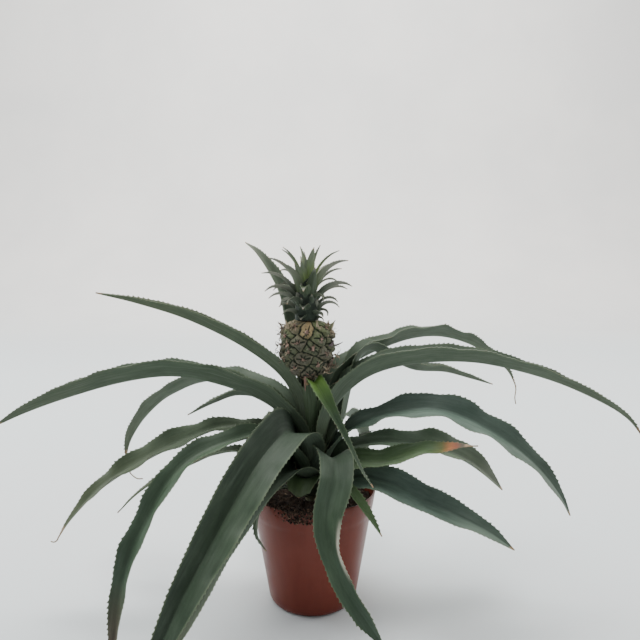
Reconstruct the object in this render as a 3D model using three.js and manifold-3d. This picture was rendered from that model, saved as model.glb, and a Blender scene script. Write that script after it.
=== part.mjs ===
// A dwarf pineapple plant in a plain plastic nursery pot.
// Millimetres, +Z up. The origin is the centre of the pot's underside, on the floor.
import * as THREE from "three";
import Module from "manifold-3d";
import { mergeVertices } from "three/addons/utils/BufferGeometryUtils.js";

// Driving dimensions
const POT_HEIGHT = 110;
const RIM_RADIUS = 60;
const COLLAR_BOTTOM = 90;
const WALL_TOP_RADIUS = 55.5;
const WALL_FOOT_RADIUS = 42.8;
const WALL = 1.3;
const POT_SIDES = 36;
const DRAIN_HOLES = 8;
const DRAIN_RADIUS = 3;
const FOOT_NOTCHES = 8;
const FIRST_NOTCH = -102; // degrees, the one that shows at the front

const GAP = 0.3; // clearance between neighbouring pieces
const SOIL_LEVEL = 98;

const STEM_RADIUS = 7.3;
const STEM_FOOT = 86;
const STEM_SHOULDER = 168; // top of the short leafy stem
const STALK_RADIUS = 5; // the fruit stalk above it
const STALK_TOP = 217;

const FRUIT_LEAN = -5; // the fruit stands this far to the left of the pot's axis
const FRUIT_FOOT = 217.3;
const FRUIT_TOP = 271;
const FRUIT_RADIUS = 25.5;
const EYES = 42;
const EYE_TURN = 137.508; // degrees from one eye to the next up the spiral
const EYE_RELIEF = 3.4;
const GROOVE = 6.5; // from the bottom of a groove to the full height of an eye
const BRACT = { radius: 2.9, length: 9, flat: 0.45, tilt: 42 * Math.PI / 180 };

const CROWN_FOOT = 271.3;
const CROWN_CORE_TOP = 318;
const CROWN_TOOTH = 0.7;
const CROWN_FOLD = 36; // degrees each side
const CROWN_ROLL = -36; // degrees that a blade at the side turns its outer face to the front
const CROWN_BEND_RATE = 1.3; // above 1, a blade bends more towards its tip
const CROWN_BACK = 12; // blades behind, and the azimuths (deg) that they stand between
const CROWN_BACK_FROM = 42;
const CROWN_BACK_TO = 152;
const CROWN_BACK_STEP = 0.618; // share of the crown's height from one blade to the next
const CROWN_BACK_REACH = 36; // height over which their roots are spread
const CROWN_BACK_HALF_WIDTH = 3.8;
const FRUIT_CLEARANCE = 3.9; // how far the leaves stay off the fruit, past its bracts

const LEAF_THICK = 0.8;
const TOOTH_PITCH = 20;
const TOOTH_HEIGHT = 1.2;
const FOOT_FOLD = 25; // degrees each side where a leaf leaves the stem
const SHEATH_FOLD = 52; // degrees each side where it clasps its neighbours
const WAVE_LENGTH = 46;
const CLASP_LENGTH = 22; // along a leaf, from its foot to where it clasps most
const SPREAD_LENGTH = 24; // and to where it has its full width
const FOOT_HALF_WIDTH = 7.5; // at most, where a leaf leaves the stem
const FOOT_SHARE = 0.22; // of the full width, on a narrow leaf
const FOOT_EXTRA = 0.2; // how much thicker a leaf is at its foot
const FOOT_EXTRA_LENGTH = 40;

// Each leaf: azimuth (deg), flat width, fold of each half (deg), roll of the blade (deg), wave of
// the margins, and its midrib as [distance out, height, sideways]. Some have an outline of their
// own, or a twist (deg) of the outer half.
const LEAVES = {
  right_long: {
    az: -4, w: 37, fold: 58, wave: 0.6, outline: "tapered",
    path: [[9, 148], [20, 186], [44, 213], [74, 227], [112, 233], [150, 233], [188, 226], [228, 214],
      [266, 197], [288, 183], [301, 168]],
  },
  right_back: {
    az: 31, w: 30, fold: 55, roll: -6, wave: 1.4,
    path: [[9, 154], [18, 194], [28, 213], [46, 226], [80, 237], [118, 244], [156, 243], [196, 232],
      [234, 213], [258, 196], [270, 181]],
  },
  right_behind: {
    az: 21, w: 27, fold: 48, wave: 0.6,
    path: [[9, 140], [30, 172], [37, 196], [42, 218], [50, 234], [62, 238], [80, 229], [108, 216],
      [144, 211], [174, 202], [202, 193]],
  },
  right_big: {
    az: -14, w: 34, fold: 26, roll: 32, wave: 2.4, outline: "necked",
    path: [[9, 118], [20, 149], [36, 168], [58, 181], [86, 190], [114, 193], [142, 186], [178, 167],
      [204, 146], [222, 124], [232, 106]],
  },
  right_low_back: {
    az: 4, w: 38, fold: 32, roll: 22, wave: 2, outline: "spatula",
    path: [[9, 108], [18, 130], [34, 145], [62, 151], [94, 149], [124, 143], [146, 133], [166, 119],
      [186, 101]],
  },
  orange_tip: {
    az: -25, w: 27, fold: 22, roll: 24, wave: 1.2,
    path: [[9, 106], [22, 128], [44, 141], [73, 146], [105, 160], [123, 164], [138, 169], [149, 171]],
  },
  right_low: {
    az: -25, w: 31, fold: 28, roll: 36, wave: 1.6,
    path: [[8.2, 101], [24, 116], [48, 126], [68, 126], [87, 122], [115, 113], [141, 106], [167, 97],
      [188, 86]],
  },
  left_upper: {
    az: 194, w: 26, fold: 60, wave: 0.3,
    path: [[9, 148], [12, 178], [20, 204], [37, 227], [70, 252], [113, 275], [154, 290], [189, 300]],
  },
  left_long: {
    az: 188, w: 36, fold: 58, roll: 8, wave: 0.8, outline: "blunt",
    path: [[9, 140], [16, 168], [40, 191], [68, 206], [104, 218], [136, 222], [176, 217], [221, 205],
      [256, 193], [284, 181]],
  },
  left_back: {
    az: 156, w: 31, fold: 48, wave: 0.8, outline: "blunt",
    path: [[9, 146], [22, 180], [52, 198], [88, 206], [126, 200], [156, 187], [177, 174], [201, 152],
      [219, 127], [226, 106]],
  },
  left_back_tip: {
    az: 168, w: 20, fold: 45, wave: 0.6,
    path: [[9, 122], [20, 160], [44, 190], [72, 196], [98, 187], [126, 173]],
  },
  left_olive: {
    az: 186, w: 32, fold: 34, roll: -24, wave: 2, outline: "waisted",
    path: [[9, 114], [22, 146], [48, 168], [83, 171], [115, 161], [143, 149], [171, 134], [200, 114],
      [224, 89], [236, 72]],
  },
  left_droop: {
    az: 221, w: 23, fold: 40, roll: -20, wave: 1.6, outline: "blunt",
    path: [[9, 116], [26, 150], [60, 172], [86, 174], [115, 171], [137, 163], [153, 150], [169, 128],
      [183, 105], [193, 76], [200, 40], [204, 13]],
  },
  left_thin: {
    az: 172, w: 12, fold: 36, roll: -10, wave: 0.8,
    path: [[9, 103], [34, 131], [70, 141], [96, 137], [116, 128], [158, 106], [180, 90], [199, 71]],
  },
  front_big: {
    az: 239, w: 44, fold: 36, roll: -40, wave: 1.6, outline: "keel",
    path: [[9, 130], [21, 160], [44, 175], [77, 164, -1], [110, 140, -3], [143, 112, -4], [174, 86, -4],
      [203, 60, -2], [232, 32]],
  },
  front_under: {
    az: 232, w: 42, fold: 40, roll: -24, wave: 0.6,
    path: [[8.1, 104], [20, 126], [40, 138], [66, 130, -4], [92, 108, -8], [120, 82, -10], [146, 52, -8],
      [170, 24, -6]],
  },
  pot_side: {
    az: 226, w: 9, fold: 30,
    path: [[8.2, 102], [34, 118], [58, 119], [69, 104], [74, 90, 4], [73, 82, 8], [71, 75, 13]],
  },
  low_stub: {
    az: 252, w: 36, fold: 24, wave: 1.2, outline: "stub",
    path: [[8.1, 104], [14, 119], [24, 126], [33, 122], [39, 114]],
  },
  front_middle: {
    az: -88, w: 34, fold: 28, roll: -8, twist: 42, wave: 1.4, outline: "shrinking",
    path: [[9, 112, 0], [20, 140, 10], [38, 150, 18], [58, 140, 18], [74, 112, 11], [88, 84, 15],
      [106, 58, 29], [130, 30, 53]],
  },
  arrow: {
    az: -62, w: 18, fold: 34, roll: 10, outline: "lance",
    path: [[7.6, 196], [8.6, 206, -1], [13, 214, -5.5], [22, 216, -8.5], [34, 207, -7],
      [48, 191, -3], [66, 172, 0.5], [88, 154, 1], [106, 147]],
  },
  small_right: {
    az: -45, w: 12, fold: 36, roll: 10, wave: 0.4,
    path: [[8.2, 102], [28, 116], [46, 121, -1], [60, 115, -3], [72, 105, -2], [86, 89]],
  },
  tall_back: {
    az: 128, w: 26, fold: 50,
    path: [[9, 160], [22, 205, -3], [42, 243, -8], [53, 262, -9.5], [59, 287, -7.5],
      [74, 310, -4], [95, 330, -1], [116, 341]],
  },
  inner_right: {
    az: -24, w: 20, fold: 50,
    path: [[9, 160], [11, 180], [17, 200], [27, 216]],
  },
  inner_front: {
    az: 256, w: 20, fold: 50,
    path: [[9, 158], [12.5, 176], [15.5, 196], [22, 217]],
  },
  back_middle: {
    az: 93, w: 32, fold: 40, wave: 1.2,
    path: [[9, 132], [24, 172], [54, 200], [94, 210], [140, 202], [184, 180], [220, 146], [244, 108]],
  },
  back_right: {
    az: 66, w: 30, fold: 40, wave: 1.2,
    path: [[9, 110], [26, 140], [52, 158], [84, 158], [116, 142], [140, 118], [156, 92]],
  },
  back_left: {
    az: 114, w: 30, fold: 40, wave: 1.2,
    path: [[9, 106], [26, 136], [54, 154], [88, 152], [120, 134], [144, 108], [160, 80]],
  },
};

// Share of the full width along a leaf, from its foot to its tip.
const OUTLINES = {
  plain: [[0, 1], [0.1, 1.08], [0.25, 1.02], [0.42, 1], [0.6, 0.94], [0.76, 0.72], [0.9, 0.36],
    [1, 0.03]],
  blunt: [[0, 1], [0.1, 1.05], [0.25, 1], [0.42, 1], [0.6, 0.98], [0.76, 0.88], [0.9, 0.52], [1, 0.03]],
  lance: [[0, 0.55], [0.12, 0.66], [0.2, 1], [0.3, 0.94], [0.42, 0.62], [0.55, 0.4], [0.7, 0.22],
    [0.85, 0.12], [1, 0.03]],
  tapered: [[0, 1], [0.1, 1.08], [0.25, 1.05], [0.4, 1], [0.55, 0.8], [0.65, 0.66], [0.8, 0.46],
    [0.9, 0.3], [1, 0.03]],
  necked: [[0, 1], [0.08, 0.76], [0.13, 0.58], [0.19, 0.56], [0.27, 0.64], [0.36, 0.78], [0.46, 0.95],
    [0.6, 0.94], [0.76, 0.74], [0.9, 0.38], [1, 0.03]],
  waisted: [[0, 1], [0.1, 1.02], [0.22, 0.6], [0.3, 0.5], [0.38, 0.6], [0.48, 0.94], [0.6, 0.92],
    [0.76, 0.7], [0.9, 0.34], [1, 0.03]],
  spatula: [[0, 0.8], [0.12, 0.72], [0.3, 0.6], [0.45, 0.72], [0.6, 0.98], [0.74, 1], [0.88, 0.74],
    [1, 0.04]],
  keel: [[0, 0.9], [0.1, 1], [0.3, 1.04], [0.45, 1], [0.6, 0.86], [0.76, 0.6], [0.9, 0.32], [1, 0.03]],
  shrinking: [[0, 1], [0.2, 1.06], [0.34, 0.96], [0.48, 0.82], [0.6, 0.62], [0.74, 0.54], [0.88, 0.46],
    [1, 0.04]],
  stub: [[0, 0.9], [0.3, 1], [0.65, 0.95], [0.88, 0.6], [1, 0.08]],
};

// Helpers
const DEG = Math.PI / 180;
const clamp = (x, a, b) => Math.min(b, Math.max(a, x));
const smooth = (x) => {
  const t = clamp(x, 0, 1);
  return t * t * (3 - 2 * t);
};
const mix = (a, b, t) => a + (b - a) * t;

function along(table, u) {
  for (let i = 1; i < table.length; i++) {
    if (u <= table[i][0]) {
      const [a, b] = [table[i - 1], table[i]];
      return mix(a[1], b[1], (u - a[0]) / (b[0] - a[0]));
    }
  }
  return table[table.length - 1][1];
}

function fromTriangles(positions, triangles) {
  const geometry = new THREE.BufferGeometry();
  geometry.setAttribute("position", new THREE.Float32BufferAttribute(positions, 3));
  geometry.setIndex(triangles);
  return geometry;
}

// Only positions, with shared corners merged and slivers of no area left out.
function welded(geometry, tolerance = 1e-4) {
  const bare = geometry.clone();
  bare.deleteAttribute("normal");
  bare.deleteAttribute("uv");
  const joined = mergeVertices(bare, tolerance);
  const index = joined.index.array;
  const kept = [];
  for (let i = 0; i < index.length; i += 3) {
    const [a, b, c] = [index[i], index[i + 1], index[i + 2]];
    if (a !== b && b !== c && c !== a) kept.push(a, b, c);
  }
  joined.setIndex(kept);
  return joined;
}

const wasm = await Module();
wasm.setup();

function toSolid(geometry) {
  const joined = welded(geometry);
  return new wasm.Manifold(new wasm.Mesh({
    numProp: 3,
    vertProperties: new Float32Array(joined.attributes.position.array),
    triVerts: new Uint32Array(joined.index.array),
  }));
}

function toGeometry(solid) {
  const mesh = solid.getMesh();
  const positions = [];
  for (let i = 0; i < mesh.vertProperties.length; i += mesh.numProp) {
    positions.push(mesh.vertProperties[i], mesh.vertProperties[i + 1], mesh.vertProperties[i + 2]);
  }
  return fromTriangles(positions, Array.from(mesh.triVerts));
}

const triangleCount = (solid) => solid.getMesh().triVerts.length / 3;

// The largest of the loose pieces of a solid.
function mainPiece(solid) {
  let best = null;
  for (const piece of solid.decompose()) {
    if (!best || triangleCount(piece) > triangleCount(best)) best = piece;
  }
  return best;
}

// A turned shape with its axis upright. The profile is given as [radius, height] from the
// bottom outwards, and starts and ends on the axis.
function turned(profile, sides) {
  const geometry = new THREE.LatheGeometry(profile.map(([r, z]) => new THREE.Vector2(r, z)), sides);
  geometry.rotateX(Math.PI / 2);
  return welded(geometry);
}

// A round bar from height a to height b.
function bar(radius, a, b, sides) {
  const geometry = new THREE.CylinderGeometry(radius, radius, b - a, sides);
  geometry.rotateX(Math.PI / 2);
  geometry.translate(0, 0, (a + b) / 2);
  return geometry;
}

// Blades
// A thin folded blade along a curve. shape(u, s) gives its half width, the fold of each half,
// its roll, the wave of each margin and its thickness. Between stations each margin carries a
// forward-pointing tooth. grow thickens the blade on every side.
function blade(curve, side, stations, shape, { teeth = 0, grow = 0 } = {}) {
  const length = curve.getLength();
  const positions = [];
  const triangles = [];
  const put = (v) => {
    positions.push(v.x, v.y, v.z);
    return positions.length / 3 - 1;
  };
  const rows = [];
  const margins = [];
  for (let i = 0; i <= stations; i++) {
    const u = i / stations;
    const centre = curve.getPointAt(u);
    const T = curve.getTangentAt(u);
    if (grow) centre.addScaledVector(T, i === 0 ? -grow : i === stations ? grow : 0);
    const S = side.clone().addScaledVector(T, -side.dot(T)).normalize();
    const N = new THREE.Vector3().crossVectors(T, S);
    const { half, fold, bend, roll, wave, thick } = shape(u, u * length);
    const S2 = S.clone().multiplyScalar(Math.cos(roll)).addScaledVector(N, Math.sin(roll));
    const N2 = new THREE.Vector3().crossVectors(T, S2);
    const lateral = half * (bend / fold * Math.sin(fold) + (1 - bend) * Math.cos(fold));
    const rise = half * (bend / fold * (1 - Math.cos(fold)) + (1 - bend) * Math.sin(fold));
    const t = thick / 2 + grow;
    const row = {};
    const miter = t / Math.cos(Math.atan2(rise, lateral));
    row.TC = put(centre.clone().addScaledVector(N2, miter));
    row.BC = put(centre.clone().addScaledVector(N2, -miter));
    const edges = {};
    for (const [name, sign] of [["L", -1], ["R", 1]]) {
      const up = rise + wave[sign < 0 ? 0 : 1];
      const reach = Math.hypot(lateral, up);
      const away = S2.clone().multiplyScalar(sign * lateral / reach).addScaledVector(N2, up / reach);
      const normal = N2.clone().multiplyScalar(lateral / reach).addScaledVector(S2, -sign * up / reach);
      const edge = centre.clone().addScaledVector(away, reach + grow);
      row["T" + name] = put(edge.clone().addScaledVector(normal, t));
      row["B" + name] = put(edge.clone().addScaledVector(normal, -t));
      edges[name] = { edge, away, normal, t };
    }
    rows.push(row);
    margins.push(edges);
  }
  const face = (...v) => triangles.push(...v);
  for (let i = 0; i < stations; i++) {
    const [p, q] = [rows[i], rows[i + 1]];
    const toothed = teeth > 0 && i >= (stations > 5 ? 2 : 1) && i < stations - 1;
    for (const [name, flip] of [["R", false], ["L", true]]) {
      const tri = (a, b, c) => (flip ? face(a, c, b) : face(a, b, c));
      const [TE, BE] = ["T" + name, "B" + name];
      if (toothed) {
        const [a, b] = [margins[i][name], margins[i + 1][name]];
        const spot = a.edge.clone().lerp(b.edge, 0.8).addScaledVector(b.away, teeth);
        const top = put(spot.clone().addScaledVector(b.normal, b.t));
        const low = put(spot.clone().addScaledVector(b.normal, -b.t));
        tri(p.TC, q.TC, top);
        tri(q.TC, q[TE], top);
        tri(p.TC, top, p[TE]);
        tri(p.BC, low, q.BC);
        tri(q.BC, low, q[BE]);
        tri(p.BC, p[BE], low);
        tri(p[BE], p[TE], top);
        tri(p[BE], top, low);
        tri(low, top, q[TE]);
        tri(low, q[TE], q[BE]);
      } else {
        tri(p.TC, q.TC, q[TE]);
        tri(p.TC, q[TE], p[TE]);
        tri(p.BC, q[BE], q.BC);
        tri(p.BC, p[BE], q[BE]);
        tri(p[BE], p[TE], q[TE]);
        tri(p[BE], q[TE], q[BE]);
      }
    }
  }
  const [a, b] = [rows[0], rows[stations]];
  face(a.TC, a.TR, a.BR);
  face(a.TC, a.BR, a.BC);
  face(a.TL, a.TC, a.BC);
  face(a.TL, a.BC, a.BL);
  face(b.TR, b.TC, b.BC);
  face(b.TR, b.BC, b.BR);
  face(b.TC, b.TL, b.BL);
  face(b.TC, b.BL, b.BC);
  return fromTriangles(positions, triangles);
}

function leafGeometry(leaf, options) {
  const a = leaf.az * DEG;
  const out = new THREE.Vector3(Math.cos(a), Math.sin(a), 0);
  const side = new THREE.Vector3(-Math.sin(a), Math.cos(a), 0);
  const points = leaf.path.map(([o, z, s = 0]) =>
    out.clone().multiplyScalar(o).addScaledVector(side, s).add(new THREE.Vector3(0, 0, z)));
  const curve = new THREE.CatmullRomCurve3(points, false, "catmullrom", 0.5);
  const length = curve.getLength();
  const stations = Math.max(6, Math.round(length / TOOTH_PITCH));
  const shape = (u, s) => {
    const full = (leaf.w / 2) * along(OUTLINES[leaf.outline ?? "plain"], u);
    const foot = Math.min(FOOT_SHARE * leaf.w, FOOT_HALF_WIDTH);
    const fold = FOOT_FOLD + (SHEATH_FOLD - FOOT_FOLD) * smooth(s / CLASP_LENGTH)
      + (leaf.fold - SHEATH_FOLD) * smooth((s - 10) / (0.22 * length));
    const ripple = (phase) => (leaf.wave ?? 0) * smooth(u * 4) * smooth((1 - u) * 3)
      * Math.sin(2 * Math.PI * s / WAVE_LENGTH + phase + leaf.path.length);
    return {
      half: Math.max(0.5, mix(foot, full, smooth(s / SPREAD_LENGTH))),
      fold: fold * (1 - 0.15 * smooth((u - 0.6) / 0.4)) * DEG,
      bend: 0.9 - 0.6 * smooth(u / 0.25),
      roll: ((leaf.roll ?? 0) * smooth(u / 0.28) + (leaf.twist ?? 0) * smooth((u - 0.4) / 0.3)) * DEG,
      wave: [ripple(1.7), ripple(0)],
      thick: LEAF_THICK + FOOT_EXTRA * (1 - smooth(s / FOOT_EXTRA_LENGTH)),
    };
  };
  return blade(curve, side, stations, shape, options);
}

// Pot
const potProfile = [
  [0, 0], [14, 0], [16, 3], [30, 3], [32, 0], [36, 0], [40.6, 2.2], [WALL_FOOT_RADIUS, 9],
  [WALL_TOP_RADIUS, COLLAR_BOTTOM - 1], [57.4, COLLAR_BOTTOM], [RIM_RADIUS, POT_HEIGHT - 0.6],
  [RIM_RADIUS - 0.5, POT_HEIGHT], [RIM_RADIUS - 1.5, POT_HEIGHT], [56.1, COLLAR_BOTTOM + 1.4],
  [WALL_TOP_RADIUS - WALL, COLLAR_BOTTOM], [WALL_FOOT_RADIUS - WALL, 9.6], [39.4, 3.8],
  [35.6, 1.5], [33, 1.5], [31, 4.5], [15, 4.5], [13, 1.5], [0, 1.5],
];
let potSolid = toSolid(turned(potProfile, POT_SIDES));
for (let i = 0; i < DRAIN_HOLES; i++) {
  const a = (i + 0.5) * 2 * Math.PI / DRAIN_HOLES;
  const hole = bar(DRAIN_RADIUS, -1, 6, 8).translate(23 * Math.cos(a), 23 * Math.sin(a), 0);
  potSolid = potSolid.subtract(toSolid(hole));
}
for (let i = 0; i < FOOT_NOTCHES; i++) {
  const notch = new THREE.BoxGeometry(14, 8, 1.8).translate(36, 0, -0.4);
  notch.rotateZ((FIRST_NOTCH + i * 360 / FOOT_NOTCHES) * DEG);
  potSolid = potSolid.subtract(toSolid(notch));
}

// Soil
// Peat that fills the pot to a little below its rim, lumpy on top, with a hole for the stem.
function soilGeometry() {
  const g = GAP + 0.1;
  const profile = [
    [0, 4.5 + g], [34, 4.5 + g], [39.6 - g, 6.6], [WALL_FOOT_RADIUS - WALL - g, 10.6],
    [WALL_TOP_RADIUS - WALL - g, COLLAR_BOTTOM - 0.4], [55.6, COLLAR_BOTTOM + 3], [56.3, SOIL_LEVEL],
    [48, SOIL_LEVEL], [36, SOIL_LEVEL], [23, SOIL_LEVEL], [11, SOIL_LEVEL], [0, SOIL_LEVEL],
  ];
  const geometry = turned(profile, POT_SIDES / 2);
  const p = geometry.attributes.position;
  for (let i = 0; i < p.count; i++) {
    const [x, y, z] = [p.getX(i), p.getY(i), p.getZ(i)];
    const r = Math.hypot(x, y);
    if (z < SOIL_LEVEL - 0.01 || r < 11.5) continue;
    const lumps = 1.3 * Math.sin(x * 0.31 + 1) * Math.cos(y * 0.27) + 0.9 * Math.sin(x * 0.13 - y * 0.37);
    const angle = Math.atan2(y, x) / DEG;
    const heap = smooth(1 - Math.abs(angle + 118) / 34) * smooth((r - 34) / 16);
    p.setZ(i, z + lumps * smooth((r - 11) / 12) + 9 * heap);
  }
  return geometry;
}
const soilSolid = toSolid(soilGeometry())
  .subtract(toSolid(bar(STEM_RADIUS + GAP, STEM_FOOT - GAP, SOIL_LEVEL + 20, 20)));

// Stem and fruit stalk
function leanBy(geometry, from, to, shift) {
  const p = geometry.attributes.position;
  for (let i = 0; i < p.count; i++) {
    const t = smooth((p.getZ(i) - from) / (to - from));
    p.setX(i, p.getX(i) + shift * t);
  }
  return geometry;
}
const stemProfile = (g) => [
  [0, STEM_FOOT - g], [STEM_RADIUS + g, STEM_FOOT - g], [STEM_RADIUS + g, 150],
  [STEM_RADIUS - 0.3 + g, STEM_SHOULDER],
  [STALK_RADIUS + g, STEM_SHOULDER + 8], [STALK_RADIUS + g, 196], [STALK_RADIUS + 0.6 + g, STALK_TOP - 3],
  [STALK_RADIUS + 2 + g, STALK_TOP], [0, STALK_TOP],
];
const stemGeometry = (g = 0) => leanBy(turned(stemProfile(g), 18), 172, STALK_TOP, FRUIT_LEAN);

// Fruit
const fruitOutline = [
  [0, 0], [0.03, 0.46], [0.08, 0.7], [0.16, 0.86], [0.28, 0.97], [0.42, 1.02],
  [0.56, 1.02], [0.7, 0.99], [0.82, 0.93], [0.92, 0.78], [0.975, 0.58], [1, 0],
];
// Centres of the eyes on a rising spiral, as [angle, share of the height].
const eyeCentres = [];
for (let k = 0; k < EYES; k++) {
  const share = 0.07 + 0.87 * (k + 0.5) / EYES;
  eyeCentres.push([(k * EYE_TURN) % 360 * DEG, share]);
}
// How far the skin stands out at a point: full over an eye, nothing in the groove between two.
function eyeHeight(angle, share) {
  let near = 1e9;
  let next = 1e9;
  for (const [a, h] of eyeCentres) {
    let da = Math.abs(angle - a) % (2 * Math.PI);
    if (da > Math.PI) da = 2 * Math.PI - da;
    const d = Math.hypot(da * FRUIT_RADIUS * 0.95, (share - h) * (FRUIT_TOP - FRUIT_FOOT));
    if (d < near) {
      next = near;
      near = d;
    } else if (d < next) {
      next = d;
    }
  }
  return smooth((next - near) / GROOVE);
}
function fruitGeometry() {
  const rows = 16;
  const sides = 50;
  const height = FRUIT_TOP - FRUIT_FOOT;
  const profile = [[0, FRUIT_FOOT]];
  for (let i = 1; i < rows; i++) {
    const share = 0.5 - 0.5 * Math.cos(Math.PI * i / rows);
    profile.push([(FRUIT_RADIUS - EYE_RELIEF) * along(fruitOutline, share), FRUIT_FOOT + height * share]);
  }
  profile.push([0, FRUIT_TOP]);
  const geometry = turned(profile, sides);
  const p = geometry.attributes.position;
  for (let i = 0; i < p.count; i++) {
    const [x, y, z] = [p.getX(i), p.getY(i), p.getZ(i)];
    const r = Math.hypot(x, y);
    const share = (z - FRUIT_FOOT) / height;
    if (r > 1) {
      const angle = (Math.atan2(y, x) + 2 * Math.PI) % (2 * Math.PI);
      const inside = smooth(share * 12) * smooth((1 - share) * 16);
      const out = (r + EYE_RELIEF * eyeHeight(angle, share) * inside) / r;
      p.setX(i, x * out);
      p.setY(i, y * out);
    }
    p.setX(i, p.getX(i) + FRUIT_LEAN);
  }
  return geometry;
}
// The small dry bract at the middle of an eye, curled outwards and up.
function bractGeometry(angle, share) {
  const height = FRUIT_TOP - FRUIT_FOOT;
  const r = FRUIT_RADIUS * along(fruitOutline, share);
  const geometry = new THREE.ConeGeometry(BRACT.radius, BRACT.length, 3).rotateX(Math.PI / 2);
  const p = geometry.attributes.position;
  for (let i = 0; i < p.count; i++) p.setX(i, p.getX(i) * BRACT.flat);
  geometry.rotateY(BRACT.tilt).translate(r + 0.3, 0, FRUIT_FOOT + height * share + 0.4).rotateZ(angle);
  return geometry.translate(FRUIT_LEAN, 0, 0);
}
let fruitSolid = toSolid(fruitGeometry());
for (const [angle, share] of eyeCentres) {
  if (share > 0.15 && share < 0.9) fruitSolid = fruitSolid.add(toSolid(bractGeometry(angle, share)));
}

// Crown
// A tapering core with blades set round it on a spiral, the lower ones curling outwards.
// The blades that show from the front: azimuth, height of the root above the crown's foot,
// length, half width, and steepness at the root and at the tip.
const CROWN_FRONT = [
  [14, 30, 44, 2.6, 76, 20], [-12, 23, 48, 4.8, 76, 4], [26, 22, 40, 3.6, 68, 2],
  [38, 22, 37, 2.4, 62, -38], [-8, 16, 41, 4.6, 64, -28], [22, 14, 38, 3.4, 60, -28],
  [8, 10, 25, 3, 68, -52], [-18, 5, 28, 3.4, 70, -50], [0, 5, 15, 2.6, 62, -110],
  [-30, 1, 10, 2.6, 35, -70], [-20, 36, 34, 2.3, 80, 62], [-58, 34, 33, 5.2, 80, 66],
  [120, 37, 25, 1.8, 88, 80], [-100, 32, 26, 3.6, 88, 82], [170, 36, 18, 1.8, 86, 74],
  [-135, 28, 26, 4.4, 78, 52], [-115, 31, 25, 3.6, 80, 58], [165, 30, 42, 2.8, 84, 36],
  [190, 24, 46, 3.8, 74, 16], [214, 22, 37, 5.4, 80, 28], [172, 23, 25, 2.6, 66, -40],
  [178, 17, 46, 3.4, 72, -8], [158, 17, 33, 3, 66, -45], [188, 15, 38, 3.8, 68, -42],
  [198, 12, 33, 3.4, 62, -42], [180, 8, 20, 3, 58, -50], [228, 12, 22, 4, 68, -60],
  [208, 4, 18, 3.6, 50, -50], [264, 19, 26, 6, 84, -50], [262, 6, 18, 6, 80, -50],
  [252, 0.5, 9, 5, 60, -60], [-62, 18, 32, 5.4, 84, 62], [-38, 19, 16, 3.4, 60, -90],
  [-48, 4, 14, 4, 50, -60],
];
// The blades behind follow the same growth: what is given by the height of the root.
const crownRoot = [[0, 9.6], [14, 9], [26, 6], [38, 2]];
const crownLength = [[0, 10], [5, 24], [12, 36], [22, 44], [30, 42], [38, 28]];
const crownStart = [[0, 45], [12, 64], [22, 72], [30, 80], [38, 88]];
const crownEnd = [[0, -70], [5, -55], [12, -40], [20, -20], [26, 10], [30, 30], [38, 78]];
const crownOutline = [[0, 0.95], [0.35, 1], [0.7, 0.66], [1, 0.08]]; // share of the width
const crownRows = [...CROWN_FRONT];
for (let k = 0; k < CROWN_BACK; k++) {
  const up = 1 + CROWN_BACK_REACH * ((k * CROWN_BACK_STEP) % 1);
  crownRows.push([
    CROWN_BACK_FROM + (CROWN_BACK_TO - CROWN_BACK_FROM) * k / (CROWN_BACK - 1), up,
    along(crownLength, up), CROWN_BACK_HALF_WIDTH, along(crownStart, up), along(crownEnd, up),
  ]);
}
function bladeCurve(out, up, length, start, end) {
  let [o, z] = [along(crownRoot, up), CROWN_FOOT + up];
  const points = [];
  const pieces = 6;
  for (let i = 0; i <= pieces; i++) {
    points.push(out.clone().multiplyScalar(o).add(new THREE.Vector3(0, 0, z)));
    const heading = mix(start, end, ((i + 0.5) / pieces) ** CROWN_BEND_RATE) * DEG;
    o += Math.cos(heading) * length / pieces;
    z += Math.sin(heading) * length / pieces;
  }
  return new THREE.CatmullRomCurve3(points, false, "catmullrom", 0.5);
}
let crownSolid = toSolid(turned([
  [0, CROWN_FOOT], [11, CROWN_FOOT], [11.2, CROWN_FOOT + 5], [9.8, CROWN_FOOT + 18],
  [6.8, CROWN_FOOT + 33], [0, CROWN_CORE_TOP],
], 12));
for (const [azimuth, up, length, halfWidth, start, end] of crownRows) {
  const out = new THREE.Vector3(Math.cos(azimuth * DEG), Math.sin(azimuth * DEG), 0);
  const side = new THREE.Vector3(-Math.sin(azimuth * DEG), Math.cos(azimuth * DEG), 0);
  const shape = (u) => ({
    half: Math.max(0.45, halfWidth * along(crownOutline, u)),
    fold: CROWN_FOLD * DEG, bend: 0.5, roll: CROWN_ROLL * Math.cos(azimuth * DEG) * DEG,
    wave: [0, 0], thick: mix(1.4, 0.75, u),
  });
  const stations = length > 40 ? 4 : 3;
  const curve = bladeCurve(out, up, length, start, end);
  crownSolid = crownSolid.add(toSolid(blade(curve, side, stations, shape, { teeth: CROWN_TOOTH })));
}

// Assembly
const plant = new THREE.Group();
plant.name = "potted_pineapple";

function addPiece(name, geometry, colour, roughness) {
  geometry.computeVertexNormals();
  const material = new THREE.MeshStandardMaterial({ color: colour, roughness, metalness: 0 });
  const mesh = new THREE.Mesh(geometry, material);
  mesh.name = name;
  plant.add(mesh);
}

addPiece("pot", toGeometry(mainPiece(potSolid)), 0x7a3626, 0.42);
addPiece("soil", toGeometry(mainPiece(soilSolid)), 0x2b211b, 0.95);
addPiece("stem", stemGeometry(), 0x66705a, 0.7);
addPiece("fruit", toGeometry(mainPiece(fruitSolid)), 0x6d6650, 0.7);
crownSolid = mainPiece(crownSolid);
const crownGeometry = toGeometry(crownSolid).translate(FRUIT_LEAN, 0, 0);
addPiece("crown", crownGeometry, 0x4f6648, 0.6);

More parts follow.
